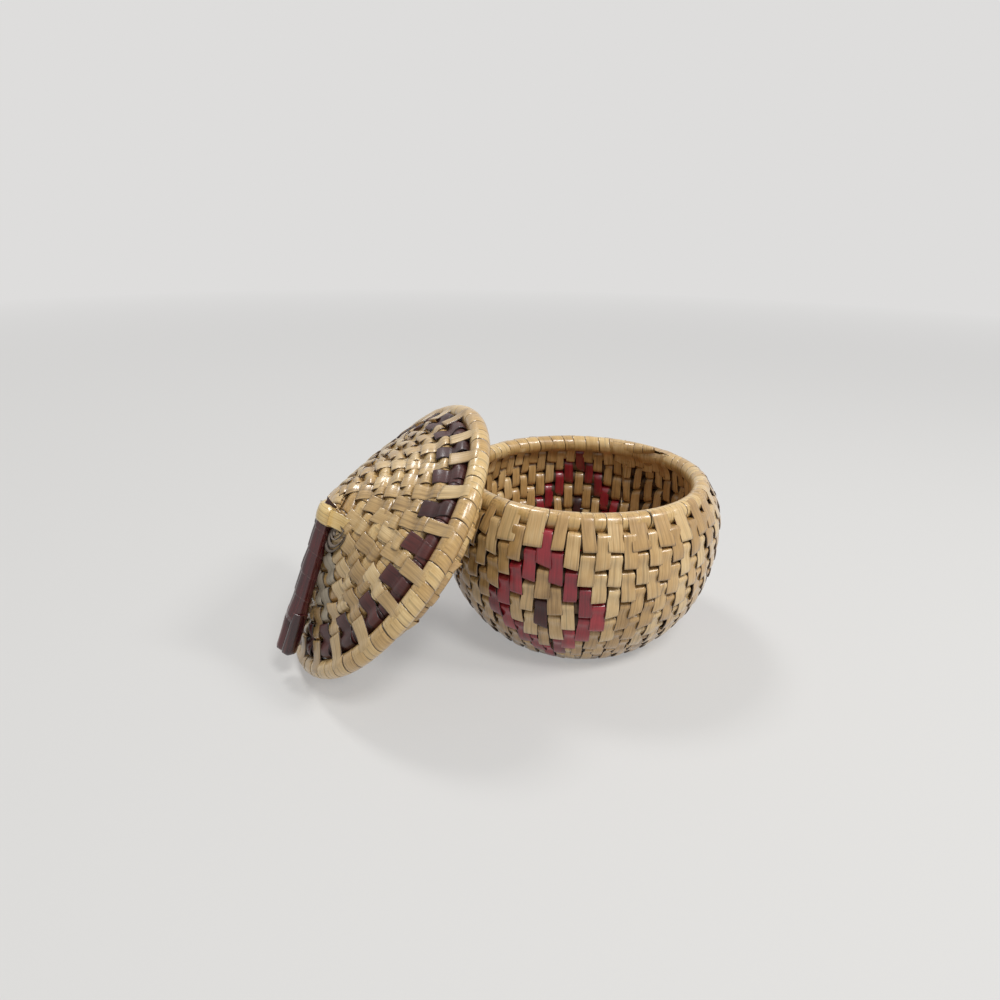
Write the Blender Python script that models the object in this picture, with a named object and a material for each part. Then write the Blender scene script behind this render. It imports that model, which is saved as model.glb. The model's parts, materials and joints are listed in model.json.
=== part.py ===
"""Small coiled basket with a low cone of a lid that leans on its rim.

The bowl and the lid are each one long coil of bundled grass. A coil lies in level rings and steps on
one row in a short sector, as a basket maker steps it. The lid carries a flange of three more loops
underneath, a dark row inside its rim, and a handle tied on beside its centre. Four diamonds of red
stitches with a brown stitch at the centre run round the bowl.

Lengths are in metres, +Z is up, and the origin is the centre of the bowl's base on the floor.
The front of the bowl is at -Y. Azimuths run from -Y towards +X.
"""

import math

import bmesh
import bpy
import numpy as np
from mathutils import Matrix, Vector

# Coils
COIL_RADIUS = 0.00305
LOOP_GAP = 0.0007
RIM_COIL_RADIUS = 0.00365
LID_COIL_RADIUS = 0.00295
LID_RIM_COIL_RADIUS = 0.0037
TAPER_TIP_RADIUS = 0.0009
LOOP_POINTS = 24
STEP_RUN = 0.0280
POINT_SPLITS = 4
TANGENT_SHARE = 0.1

# Bowl, measured to the middle of its coil
MOUTH_RADIUS = 0.0510
RIM_HEIGHT = 0.0688
BELLY_RADIUS = 0.0566
BELLY_HEIGHT = 0.0520
FOOT_RADIUS = 0.0347
FULLNESS = 2.6
FLOOR_CUT = 0.0005
BOWL_KNOT_RADIUS = 0.0056
BOWL_KNOT_HEIGHT = 0.0056
BOWL_STEP_END = math.radians(150)

# Lid, measured to the middle of its coil, from the plane of its rim
LID_OVERHANG = 0.0086
LID_RADIUS = MOUTH_RADIUS + LID_OVERHANG
LID_RISE = 0.0256
LID_ROUNDNESS = 1.1
LID_KNOT_RADIUS = 0.0056
LID_KNOT_RISE = 0.0018
LID_STEP_END = math.radians(302)
FLANGE_LOOPS = 3
FLANGE_COIL_RADIUS = 0.0027
FLANGE_MOUTH_CLEARANCE = 0.0008
FLANGE_DRAW_IN = 0.0012
LID_TILT = math.radians(52.0)
LID_LEAN = math.radians(197.78)
LID_BEARING = math.radians(196.5)

# Stitches that stand out in another colour
STITCH_COLUMNS = 68
DIAMOND_AZIMUTHS = {
    "front": math.radians(-18.5),
    "right": math.radians(95),
    "back": math.radians(175),
    "left": math.radians(257),
}
DIAMOND_REACH = 4
STITCH_LIFT = 0.00035
STITCH_THICKNESS = 0.0005
STITCH_WRAP = math.radians(50)
LID_STITCHES = 20

# Handle, along its own length from the hinge
HANDLE_SEAT_RADIUS = 0.0120
HANDLE_SEAT_AZIMUTH = math.radians(90)
HANDLE_AZIMUTH = math.radians(3.6)
HANDLE_SLOPE = math.radians(18.8)
HANDLE_REST_GAP = 0.0003
ROOT_RADIUS = 0.0032
ROOT_LENGTH = 0.0062
ROOT_HALF_WIDTH = 0.0042
PIN_RADIUS = 0.0009
PIN_CLEARANCE = 0.0003
TIE_EAR_WIDTH = 0.0018
TIE_EAR_HALF_LENGTH = 0.0021
TIE_BASE_THICKNESS = 0.0012
CORE_RADIUS = 0.0018
CORE_START = 0.0026
WRAP_END = 0.0450
WRAP_START_RADIUS = 0.0028
WRAP_END_RADIUS = 0.0035
FOLD_LENGTH = 0.0178
FOLD_HALF_WIDTH = 0.0045
FOLD_HALF_HEIGHT = 0.0038
FOLD_WALL = 0.0030
EDGE_ROUNDING = 0.0008

# Fits
SEAT_GAP = 0.0003
KNOT_CLEARANCE = 0.0005
CUT_OVERRUN = 0.002
ROUND_SIDES = 24
ROUND_SEGMENTS = 3
OUTLINE_STEPS = 80
SEARCH_STEPS = 40

STRAW = (0.62, 0.46, 0.22)
PALE_STRAW = (0.66, 0.51, 0.28)
RED = (0.36, 0.03, 0.04)
DARK_BROWN = (0.07, 0.03, 0.03)
MAROON = (0.10, 0.02, 0.03)


def clear_scene():
    for obj in list(bpy.data.objects):
        bpy.data.objects.remove(obj, do_unlink=True)


def material(name, colour, roughness):
    made = bpy.data.materials.new(name)
    made.use_nodes = True
    shader = made.node_tree.nodes["Principled BSDF"]
    shader.inputs["Base Color"].default_value = (*colour, 1)
    shader.inputs["Roughness"].default_value = roughness
    shader.inputs["Metallic"].default_value = 0
    return made


def link(name, data, colour, roughness=0.5, parent=None):
    obj = bpy.data.objects.new(name, data)
    bpy.context.scene.collection.objects.link(obj)
    data.materials.append(material(f"{name}_material", colour, roughness))
    obj.parent = parent
    return obj


# Outlines and rows


def arc_lengths(outline):
    steps = np.linalg.norm(np.diff(outline, axis=0), axis=1)
    return np.concatenate([[0], np.cumsum(steps)])


class Winding:
    """A coil that follows an outline in level rings, one row further at the end of each turn."""

    def __init__(self, outline, first_step, pitch, step_end, outer_side):
        self.outline = np.array(outline)
        self.outer_side = outer_side
        self.lengths = arc_lengths(self.outline)
        self.first_step = first_step
        self.pitch = pitch
        self.step_end = step_end

    def section(self, row):
        """The middle of the coil at a row, as (radius, height), the length along the outline included."""
        length = row * self.first_step if row < 1 else self.first_step + (row - 1) * self.pitch
        return np.array([np.interp(length, self.lengths, self.outline[:, i]) for i in (0, 1)])

    def tangent(self, row):
        ahead, behind = self.section(row + TANGENT_SHARE), self.section(max(row - TANGENT_SHARE, 0))
        return (ahead - behind) / np.linalg.norm(ahead - behind)

    def outward(self, row):
        along = self.tangent(row)
        return self.outer_side * np.array([-along[1], along[0]])

    def row_at(self, turns):
        loop = math.floor(turns)
        share = self.step_share(loop)
        return loop + max(0, (turns - loop - 1 + share) / share)

    def step_share(self, loop):
        """The share of a loop's turn in which the coil steps to the next row."""
        run = 2 * math.pi * self.section(loop + 1)[0]
        return min(1, STEP_RUN / max(run, STEP_RUN))

    def azimuth(self, turns):
        return self.step_end + 2 * math.pi * turns

    def place(self, turns):
        """A point on the coil's middle, which runs straight between its points."""
        before = math.floor(turns * LOOP_POINTS)
        corners = [self.corner(index / LOOP_POINTS) for index in (before, before + 1)]
        return corners[0].lerp(corners[1], turns * LOOP_POINTS - before)

    def corner(self, turns):
        radius, height = self.section(self.row_at(turns))
        return ring_point(radius, self.azimuth(turns), height)

    def turns_at_radius(self, radius, low, high):
        """Turns at which the coil has come in to a radius, by halving."""
        for _ in range(SEARCH_STEPS):
            middle = (low + high) / 2
            if self.section(self.row_at(middle))[0] > radius:
                low = middle
            else:
                high = middle
        return low


def ring_point(radius, azimuth, height):
    return Vector((radius * math.sin(azimuth), -radius * math.cos(azimuth), height))


def bowl_outline():
    """From the rim over the belly to the foot, then flat to the middle of the base."""
    foot_height = COIL_RADIUS - FLOOR_CUT
    points = []
    for i in range(OUTLINE_STEPS + 1):
        share = i / OUTLINE_STEPS
        height = RIM_HEIGHT + (foot_height - RIM_HEIGHT) * share
        if height > BELLY_HEIGHT:
            reach, edge = (height - BELLY_HEIGHT) / (RIM_HEIGHT - BELLY_HEIGHT), MOUTH_RADIUS
        else:
            reach, edge = (BELLY_HEIGHT - height) / (BELLY_HEIGHT - foot_height), FOOT_RADIUS
        points.append((BELLY_RADIUS - (BELLY_RADIUS - edge) * reach**FULLNESS, height))
    return [*points, (0, foot_height)]


def lid_height(radius):
    """A low cone with a slightly rounded top."""
    return LID_RISE * (1 - (radius / LID_RADIUS) ** LID_ROUNDNESS)


def lid_outline():
    radii = [LID_RADIUS * (1 - i / OUTLINE_STEPS) for i in range(OUTLINE_STEPS + 1)]
    return [(radius, lid_height(radius)) for radius in radii]


def flange_outline():
    """Down under the cone, from the radius that drops into the bowl's mouth, and drawn in a little."""
    ring = MOUTH_RADIUS - RIM_COIL_RADIUS - FLANGE_MOUTH_CLEARANCE - FLANGE_COIL_RADIUS
    pitch = 2 * FLANGE_COIL_RADIUS + LOOP_GAP
    slope = (lid_height(ring) - lid_height(ring + pitch)) / pitch
    top = lid_height(ring) - (LID_COIL_RADIUS + FLANGE_COIL_RADIUS + LOOP_GAP) * math.hypot(1, slope)
    return [(ring, top), (ring - FLANGE_DRAW_IN, top - (FLANGE_LOOPS - 1) * pitch)]


BOWL = Winding(
    bowl_outline(),
    RIM_COIL_RADIUS + COIL_RADIUS + LOOP_GAP,
    2 * COIL_RADIUS + LOOP_GAP,
    BOWL_STEP_END,
    1,
)
WALL_LOOPS = round((BOWL.lengths[-2] - BOWL.first_step) / BOWL.pitch)
LID = Winding(
    lid_outline(),
    LID_RIM_COIL_RADIUS + LID_COIL_RADIUS + LOOP_GAP,
    2 * LID_COIL_RADIUS + LOOP_GAP,
    LID_STEP_END,
    -1,
)
FLANGE = Winding(
    flange_outline(),
    2 * FLANGE_COIL_RADIUS + LOOP_GAP,
    2 * FLANGE_COIL_RADIUS + LOOP_GAP,
    LID_STEP_END,
    1,
)


# Tubes


def loop_points(winding, start, end):
    """Points of the coil every 1/24 turn from start to end, both included."""
    first = math.floor(start * LOOP_POINTS) + 1
    last = math.ceil(end * LOOP_POINTS) - 1
    turns = [start, *[i / LOOP_POINTS for i in range(first, last + 1)], end]
    return [winding.place(t) for t in turns]


def straighten_end(points, length):
    """Drops points so that the last run is straight for at least this length."""
    while (points[-1] - points[-2]).length < length:
        del points[-2]
    return points


def trim(points, at_start, at_end):
    """Draws the ends in by half a seat gap, so that two tubes end to end leave one gap."""
    if at_start:
        points[0] = points[0] + (points[1] - points[0]).normalized() * SEAT_GAP / 2
    if at_end:
        points[-1] = points[-1] + (points[-2] - points[-1]).normalized() * SEAT_GAP / 2
    return points


def tube(name, points, radius, colour, parent=None, tapers=None):
    """A round coil along the points, with closed ends. tapers are shares of the radius at the points."""
    curve = bpy.data.curves.new(name, "CURVE")
    curve.dimensions = "3D"
    curve.bevel_depth = radius
    curve.bevel_resolution = 1
    curve.use_fill_caps = True
    spline = curve.splines.new("POLY")
    spline.points.add(len(points) - 1)
    for i, point in enumerate(points):
        spline.points[i].co = (*point, 1)
        spline.points[i].radius = tapers[i] if tapers else 1
    return link(name, curve, colour, parent=parent)


def rim_tip(winding, rim_radius, coil_radius):
    """The thinning end of a rim coil, which lies over the row that steps down below it.

    Its top stays level with the rim. Returns its points, thin end first, and their shares of the radius.
    """
    points, shares = [], []
    index = 0
    while True:
        back = index / LOOP_POINTS
        below = winding.row_at(1 - back) * winding.first_step
        radius = min(rim_radius, (below + rim_radius - coil_radius - LOOP_GAP) / 2)
        if radius < TAPER_TIP_RADIUS:
            return points[::-1], shares[::-1]
        ring = winding.section(0) - winding.tangent(0) * (rim_radius - radius)
        points.append(ring_point(ring[0], winding.azimuth(-back), ring[1]))
        shares.append(radius / rim_radius)
        index += 1


def rim_coil(name, winding, rim_radius, coil_radius, colour, parent=None):
    tip, shares = rim_tip(winding, rim_radius, coil_radius)
    level = trim(loop_points(winding, 0, joint(winding, 0)), False, True)
    points = tip[:-1] + level
    return tube(name, points, rim_radius, colour, parent, shares[:-1] + [1] * len(level))


def least_gap(points, radius):
    """The least gap between the loops of one coil, measured between points along its middle."""
    fine = refined(points)
    away = LOOP_POINTS * POINT_SPLITS
    spans = np.linalg.norm(fine[:, None] - fine[None], axis=2)
    apart = np.abs(np.subtract.outer(np.arange(len(fine)), np.arange(len(fine)))) > away / 2
    return float(spans[apart].min()) - 2 * radius


def refined(points):
    """The points with more on each run between them."""
    rows = np.array([tuple(p) for p in points])
    shares = np.linspace(0, 1, POINT_SPLITS, endpoint=False)[:, None]
    runs = [rows[i] + (rows[i + 1] - rows[i]) * shares for i in range(len(rows) - 1)]
    return np.concatenate([*runs, rows[-1:]])


# Meshes


def mesh_object(name, points, faces, colour, parent=None, smooth=True):
    mesh = bpy.data.meshes.new(name)
    mesh.from_pydata([tuple(p) for p in points], [], faces)
    if smooth:
        mesh.shade_smooth()
        mesh.set_sharp_from_angle(angle=math.radians(35))
    return link(name, mesh, colour, parent=parent)


def box(name, low, high, colour, parent=None, cutter=False):
    corners = [(x, y, z) for x in (low[0], high[0]) for y in (low[1], high[1]) for z in (low[2], high[2])]
    faces = [(0, 1, 3, 2), (4, 6, 7, 5), (0, 4, 5, 1), (2, 3, 7, 6), (0, 2, 6, 4), (1, 5, 7, 3)]
    made = mesh_object(name, corners, faces, colour, parent, smooth=False)
    return as_cutter(made) if cutter else made


def turned(name, profile, axis, colour, parent=None, cutter=False):
    """A solid turned about an axis through the parent's origin, from (distance along it, radius) pairs."""
    made = bmesh.new()
    rings = []
    for along, radius in profile:
        ring = []
        for i in range(ROUND_SIDES):
            turn = 2 * math.pi * i / ROUND_SIDES
            across = (radius * math.cos(turn), radius * math.sin(turn))
            point = {"X": (along, *across), "Y": (across[1], along, across[0]), "Z": (*across, along)}[axis]
            ring.append(made.verts.new(point))
        rings.append(ring)
    for near, far in zip(rings, rings[1:]):
        for i in range(ROUND_SIDES):
            j = (i + 1) % ROUND_SIDES
            made.faces.new((near[i], near[j], far[j], far[i]))
    made.faces.new(rings[0][::-1])
    made.faces.new(rings[-1])
    mesh = bpy.data.meshes.new(name)
    made.to_mesh(mesh)
    made.free()
    mesh.shade_smooth()
    mesh.set_sharp_from_angle(angle=math.radians(35))
    obj = link(name, mesh, colour, parent=parent)
    return as_cutter(obj) if cutter else obj


def as_cutter(obj):
    obj.hide_render = True
    obj.hide_viewport = False
    obj.display_type = "WIRE"
    return obj


def boolean(obj, other, operation):
    modifier = obj.modifiers.new(f"{operation.lower()}_{other.name}", "BOOLEAN")
    modifier.operation = operation
    modifier.object = other
    modifier.solver = "EXACT"


def rounded(obj, width):
    modifier = obj.modifiers.new("rounding", "BEVEL")
    modifier.width = width
    modifier.segments = 2
    modifier.limit_method = "ANGLE"
    modifier.angle_limit = math.radians(40)


def as_mesh(obj):
    """Turns a curve object into a mesh object of the same name, so that it can carry a Boolean."""
    graph = bpy.context.evaluated_depsgraph_get()
    mesh = bpy.data.meshes.new_from_object(obj.evaluated_get(graph))
    name, parent = obj.name, obj.parent
    bpy.data.objects.remove(obj, do_unlink=True)
    mesh.name = name
    made = bpy.data.objects.new(name, mesh)
    bpy.context.scene.collection.objects.link(made)
    made.parent = parent
    return made


def skin(name, grid, cells, colour, parent=None):
    """A thin closed sheet over the chosen cells of a grid of (inner point, outer point) pairs."""
    index, points, faces = {}, [], []

    def corner(key, side):
        if (key, side) not in index:
            index[key, side] = len(points)
            points.append(grid[key][side])
        return index[key, side]

    for i, j in sorted(cells):
        ring = [(i, j), (i + 1, j), (i + 1, j + 1), (i, j + 1)]
        faces.append([corner(key, 1) for key in ring])
        faces.append([corner(key, 0) for key in reversed(ring)])
        beyond = [(i, j - 1), (i + 1, j), (i, j + 1), (i - 1, j)]
        for side, neighbour in enumerate(beyond):
            if neighbour not in cells:
                near, far = ring[side], ring[(side + 1) % 4]
                faces.append([corner(near, 0), corner(far, 0), corner(far, 1), corner(near, 1)])
    made = mesh_object(name, points, faces, colour, parent)
    face_outward(made.data)
    return made


# Stitches


def stitch_layers(winding, coils, radius):
    """Outer sides of the coils in order: three places on each, as (inner, outer) sections."""
    layers = []
    for coil in coils:
        middle, along, outward = winding.section(coil), winding.tangent(coil), winding.outward(coil)
        for bend in (-STITCH_WRAP, 0, STITCH_WRAP):
            way = math.cos(bend) * outward + math.sin(bend) * along
            inner = radius + STITCH_LIFT
            layers.append((middle + way * inner, middle + way * (inner + STITCH_THICKNESS)))
    return layers


def stitch_grid(layers, azimuths):
    grid = {}
    for i, azimuth in enumerate(azimuths):
        for j, (inner, outer) in enumerate(layers):
            grid[i, j] = [ring_point(place[0], azimuth, place[1]) for place in (inner, outer)]
    return grid


def stitch_cells(column, first_coil):
    """Cells of one long stitch: two on each of its two coils and one over the hollow between them."""
    start = 3 * first_coil
    return {(column, start + step) for step in range(5)}


def diamond(side, centre):
    """The red outline and the brown centre of one diamond."""
    reach = DIAMOND_REACH
    columns = range(-reach, reach + 1)
    pitch = 2 * math.pi / STITCH_COLUMNS
    azimuths = [centre + (column - 1 / 2) * pitch for column in [*columns, reach + 1]]
    coils = range(1, 2 * reach + 3)
    grid = stitch_grid(stitch_layers(BOWL, coils, COIL_RADIUS), azimuths)
    cells = set()
    for column in columns:
        for first_coil in (abs(column), 2 * reach - abs(column)):
            cells |= stitch_cells(column + reach, first_coil)
    skin(f"red_diamond_{side}", grid, cells, RED)
    skin(f"brown_centre_{side}", grid, stitch_cells(reach, reach), DARK_BROWN)


def lid_dark_row(parent):
    """Dark splint along the coil inside the rim, with long stitches over the next coil.

    It starts where the coil's step ends and stops where the next one begins.
    """
    count = 2 * LID_STITCHES - 1
    span = 2 * math.pi * (1 - 2 * LID.step_share(1))
    azimuths = [LID_STEP_END + span * i / count for i in range(count + 1)]
    grid = stitch_grid(stitch_layers(LID, (1, 2), LID_COIL_RADIUS), azimuths)
    wound = {(i, j) for i in range(count) for j in range(2)}
    tongues = {(i, j) for i in range(0, count, 2) for j in range(2, 5)}
    skin("lid_dark_stitches", grid, wound | tongues, DARK_BROWN, parent)


# Sub-assemblies


def joint(winding, loop):
    """Turns at the middle of the last level run before the coil steps down from this loop."""
    step_start = loop + 1 - winding.step_share(loop)
    return (math.floor(step_start * LOOP_POINTS) - 1 / 2) / LOOP_POINTS


def make_bowl():
    top, side = BOWL_KNOT_HEIGHT - EDGE_ROUNDING, BOWL_KNOT_RADIUS - EDGE_ROUNDING
    knot = [(0, side), (EDGE_ROUNDING, BOWL_KNOT_RADIUS), (top, BOWL_KNOT_RADIUS), (BOWL_KNOT_HEIGHT, side)]
    turned("bowl_start_knot", knot, "Z", STRAW)
    edge = BOWL_KNOT_RADIUS + COIL_RADIUS + KNOT_CLEARANCE
    base_end = BOWL.turns_at_radius(edge, WALL_LOOPS, LOOP_POINTS)
    base = trim(loop_points(BOWL, joint(BOWL, WALL_LOOPS), base_end), True, False)
    base = straighten_end(base, 2 * COIL_RADIUS)
    base_coil = as_mesh(tube("bowl_base_coil", base, COIL_RADIUS, STRAW))
    reach = FOOT_RADIUS + 2 * COIL_RADIUS + CUT_OVERRUN
    low = (-reach, -reach, -FLOOR_CUT - CUT_OVERRUN)
    boolean(base_coil, box("floor_cutter", low, (reach, reach, 0), STRAW, cutter=True), "DIFFERENCE")
    wall = loop_points(BOWL, joint(BOWL, 0), joint(BOWL, WALL_LOOPS))
    tube("bowl_wall_coil", trim(wall, True, True), COIL_RADIUS, STRAW)
    rim_coil("bowl_rim_coil", BOWL, RIM_COIL_RADIUS, COIL_RADIUS, PALE_STRAW)
    for name, azimuth in DIAMOND_AZIMUTHS.items():
        diamond(name, azimuth)
    print(f"least gap in the bowl's wall coil: {least_gap(wall, COIL_RADIUS):.5f} m")
    print(f"least gap in the bowl's base coil: {least_gap(base, COIL_RADIUS):.5f} m")


def make_lid_coils(parent):
    """Makes the lid's coils and returns the points along its rim, its cone and its flange."""
    edge = LID_KNOT_RADIUS + LID_COIL_RADIUS + KNOT_CLEARANCE
    cone_end = LID.turns_at_radius(edge, 1, LOOP_POINTS)
    cone = trim(loop_points(LID, joint(LID, 0), cone_end), True, False)
    cone = straighten_end(cone, 2 * LID_COIL_RADIUS)
    tube("lid_cone_coil", cone, LID_COIL_RADIUS, PALE_STRAW, parent)
    flange = loop_points(FLANGE, 0, joint(FLANGE, FLANGE_LOOPS - 1))
    tube("lid_flange_coil", flange, FLANGE_COIL_RADIUS, STRAW, parent)
    rim_coil("lid_rim_coil", LID, LID_RIM_COIL_RADIUS, LID_COIL_RADIUS, STRAW, parent)
    print(f"least gap in the lid's cone coil: {least_gap(cone, LID_COIL_RADIUS):.5f} m")
    print(f"least gap in the lid's flange coil: {least_gap(flange, FLANGE_COIL_RADIUS):.5f} m")
    return loop_points(LID, 0, joint(LID, 0)), cone, flange


def handle_radius(reach):
    """Half the handle's thickness at a distance from its hinge."""
    if reach < ROOT_LENGTH:
        return ROOT_RADIUS
    if reach > WRAP_END:
        return FOLD_HALF_HEIGHT
    share = (reach - ROOT_LENGTH) / (WRAP_END - ROOT_LENGTH)
    return WRAP_START_RADIUS + (WRAP_END_RADIUS - WRAP_START_RADIUS) * share


def tie_base_bottom():
    return -ROOT_RADIUS - SEAT_GAP - TIE_BASE_THICKNESS


def handle_reach():
    """Places that the handle and its tie reach, in the hinge's frame, and a thickness about each."""
    end, side = WRAP_END + FOLD_LENGTH, ROOT_HALF_WIDTH + SEAT_GAP + TIE_EAR_WIDTH
    shaft = np.linspace(ROOT_LENGTH, WRAP_END, OUTLINE_STEPS)
    places, thick = [(along, 0, 0) for along in shaft], [handle_radius(along) for along in shaft]
    for low, high, half, bottom in (
        (0, ROOT_LENGTH, ROOT_HALF_WIDTH, -ROOT_RADIUS),
        (WRAP_END, end, FOLD_HALF_WIDTH, -FOLD_HALF_HEIGHT),
        (-TIE_EAR_HALF_LENGTH, TIE_EAR_HALF_LENGTH, side, tie_base_bottom()),
    ):
        for along in np.linspace(low, high, ROUND_SIDES):
            places += [(along, across, bottom) for across in np.linspace(-half, half, ROUND_SIDES)]
            thick += [0] * ROUND_SIDES
    return places, np.array(thick)


def hinge_frame(height):
    """The hinge in the lid's frame: X along the handle, Y down the cone's side, Z away from the lid."""
    fall = lid_height(HANDLE_SEAT_RADIUS) - lid_height(HANDLE_SEAT_RADIUS + LID_COIL_RADIUS)
    down = ring_point(LID_COIL_RADIUS, HANDLE_SEAT_AZIMUTH, -fall)
    along = ring_point(math.cos(HANDLE_SLOPE), HANDLE_AZIMUTH, -math.sin(HANDLE_SLOPE))
    away = along.cross(down).normalized()
    rotation = Matrix((along, away.cross(along), away)).transposed().to_4x4()
    return Matrix.Translation(ring_point(HANDLE_SEAT_RADIUS, HANDLE_SEAT_AZIMUTH, height)) @ rotation


def handle_clearance(frame, coils):
    """The least gap between the handle with its tie and the lid's coils, as (points, radius) pairs."""
    places, thick = handle_reach()
    places = np.array([tuple(frame @ Vector(place)) for place in places])
    gaps = []
    for points, radius in coils:
        spans = np.linalg.norm(places[:, None] - refined(points)[None], axis=2)
        gaps.append(float((spans - thick[:, None]).min()) - radius)
    return min(gaps)


def resting_hinge(coils):
    """The hinge's frame that lays the handle and its tie just clear of the lid, by halving."""
    low, high = lid_height(HANDLE_SEAT_RADIUS), LID_RISE + WRAP_END
    for _ in range(SEARCH_STEPS):
        middle = (low + high) / 2
        if handle_clearance(hinge_frame(middle), coils) < HANDLE_REST_GAP:
            low = middle
        else:
            high = middle
    return hinge_frame(high)


def prism(name, outline, half_width, colour, parent):
    """An outline in X and Z, drawn out along Y to both sides."""
    count = len(outline)
    points = [(x, y, z) for y in (-half_width, half_width) for x, z in outline]
    faces = [list(range(count)), list(range(2 * count - 1, count - 1, -1))]
    for i in range(count):
        j = (i + 1) % count
        faces.append([j, i, i + count, j + count])
    made = mesh_object(name, points, faces, colour, parent)
    face_outward(made.data)
    return made


def face_outward(mesh):
    made = bmesh.new()
    made.from_mesh(mesh)
    bmesh.ops.recalc_face_normals(made, faces=made.faces)
    made.to_mesh(mesh)
    made.free()


def make_handle(hinge):
    """The handle in its own frame: X along it, Y along the hinge, Z away from the lid."""
    steps = 4 * ROUND_SEGMENTS
    turns = [math.pi / 2 + math.pi * i / steps for i in range(steps + 1)]
    outline = [(ROOT_RADIUS * math.cos(turn), ROOT_RADIUS * math.sin(turn)) for turn in turns]
    outline += [(ROOT_LENGTH, -ROOT_RADIUS), (ROOT_LENGTH, ROOT_RADIUS)]
    root = prism("handle_root_band", outline, ROOT_HALF_WIDTH, PALE_STRAW, hinge)
    bore, reach = PIN_RADIUS + PIN_CLEARANCE, ROOT_HALF_WIDTH + CUT_OVERRUN
    boolean(root, turned("pin_cutter", [(-reach, bore), (reach, bore)], "Y", STRAW, hinge, True), "DIFFERENCE")
    core_end = WRAP_END + FOLD_LENGTH - FOLD_WALL
    socket = CORE_RADIUS + SEAT_GAP
    profile = [(CORE_START - SEAT_GAP, socket), (core_end + SEAT_GAP, socket)]
    socket_cutter = turned("socket_cutter", profile, "X", STRAW, hinge, True)
    boolean(root, socket_cutter, "DIFFERENCE")
    turned("handle_core", [(CORE_START, CORE_RADIUS), (core_end, CORE_RADIUS)], "X", STRAW, hinge)
    profile = [(ROOT_LENGTH + SEAT_GAP, WRAP_START_RADIUS), (WRAP_END - SEAT_GAP, WRAP_END_RADIUS)]
    boolean(turned("handle_wrap", profile, "X", MAROON, hinge), socket_cutter, "DIFFERENCE")
    low = (WRAP_END, -FOLD_HALF_WIDTH, -FOLD_HALF_HEIGHT)
    high = (WRAP_END + FOLD_LENGTH, FOLD_HALF_WIDTH, FOLD_HALF_HEIGHT)
    fold = box("handle_end_fold", low, high, MAROON, hinge)
    rounded(fold, EDGE_ROUNDING)
    boolean(fold, socket_cutter, "DIFFERENCE")


def make_handle_tie(hinge):
    """The tie that holds the handle's root: a pin through it, an ear at each side and a base below."""
    inside = ROOT_HALF_WIDTH + SEAT_GAP
    outside = inside + TIE_EAR_WIDTH
    base_bottom = tie_base_bottom()
    base_top = base_bottom + TIE_BASE_THICKNESS
    pin_end = inside + TIE_EAR_WIDTH / 2
    tie = turned("handle_tie", [(-pin_end, PIN_RADIUS), (pin_end, PIN_RADIUS)], "Y", PALE_STRAW, hinge)
    length = TIE_EAR_HALF_LENGTH
    base = box("tie_base", (-length, -outside, base_bottom), (length, outside, base_top), STRAW, hinge, True)
    ear_top = PIN_RADIUS + TIE_EAR_WIDTH / 2
    pieces = [base]
    for name, near, far in (("left", -outside, -inside), ("right", inside, outside)):
        low, high = (-length, near, base_bottom), (length, far, ear_top)
        pieces.append(box(f"tie_ear_{name}", low, high, STRAW, hinge, True))
    for piece in pieces:
        boolean(tie, piece, "UNION")


def make_lid_knot(parent):
    """The start of the lid's coil, which closes the cone's middle."""
    bottom, top, side = LID_RISE - LID_COIL_RADIUS, LID_RISE + LID_KNOT_RISE, LID_KNOT_RADIUS - EDGE_ROUNDING
    profile = [(bottom, side), (bottom + EDGE_ROUNDING, LID_KNOT_RADIUS)]
    profile += [(top - EDGE_ROUNDING, LID_KNOT_RADIUS), (top, side)]
    turned("lid_start_knot", profile, "Z", STRAW, parent)


def lid_frame(distance):
    """The lid's frame, its middle at this distance from the bowl's axis and its rim on the floor."""
    height = LID_RADIUS * math.sin(LID_TILT) + LID_RIM_COIL_RADIUS
    lean = Vector((math.cos(LID_LEAN), math.sin(LID_LEAN), 0))
    outward = lean * math.sin(LID_TILT) + Vector((0, 0, math.cos(LID_TILT)))
    across = Vector((0, 0, 1)).cross(lean)
    rotation = Matrix((across, outward.cross(across), outward)).transposed().to_4x4()
    place = Vector((math.cos(LID_BEARING) * distance, math.sin(LID_BEARING) * distance, height))
    return Matrix.Translation(place) @ rotation


def bowl_clearance(frame, coils):
    """The least gap between the lid's coils, as (points, radius) pairs, and the level rows of the bowl."""
    rows = [(BOWL.section(row), COIL_RADIUS) for row in range(1, WALL_LOOPS + 1)]
    rows.append((BOWL.section(0), RIM_COIL_RADIUS))
    gaps = []
    for points, radius in coils:
        for place in (frame @ Vector(point) for point in refined(points)):
            away = math.hypot(place.x, place.y)
            gaps += [math.dist((away, place.z), row) - thick - radius for row, thick in rows]
    return min(gaps)


def leaning_frame(coils):
    """The lid's frame when it leans on the bowl, one seat gap off it, by halving."""
    near, far = FOOT_RADIUS, 2 * LID_RADIUS
    for _ in range(SEARCH_STEPS):
        middle = (near + far) / 2
        if bowl_clearance(lid_frame(middle), coils) < SEAT_GAP:
            near = middle
        else:
            far = middle
    return lid_frame(far)


def empty(name, parent=None):
    made = bpy.data.objects.new(name, None)
    bpy.context.scene.collection.objects.link(made)
    made.parent = parent
    return made


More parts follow.
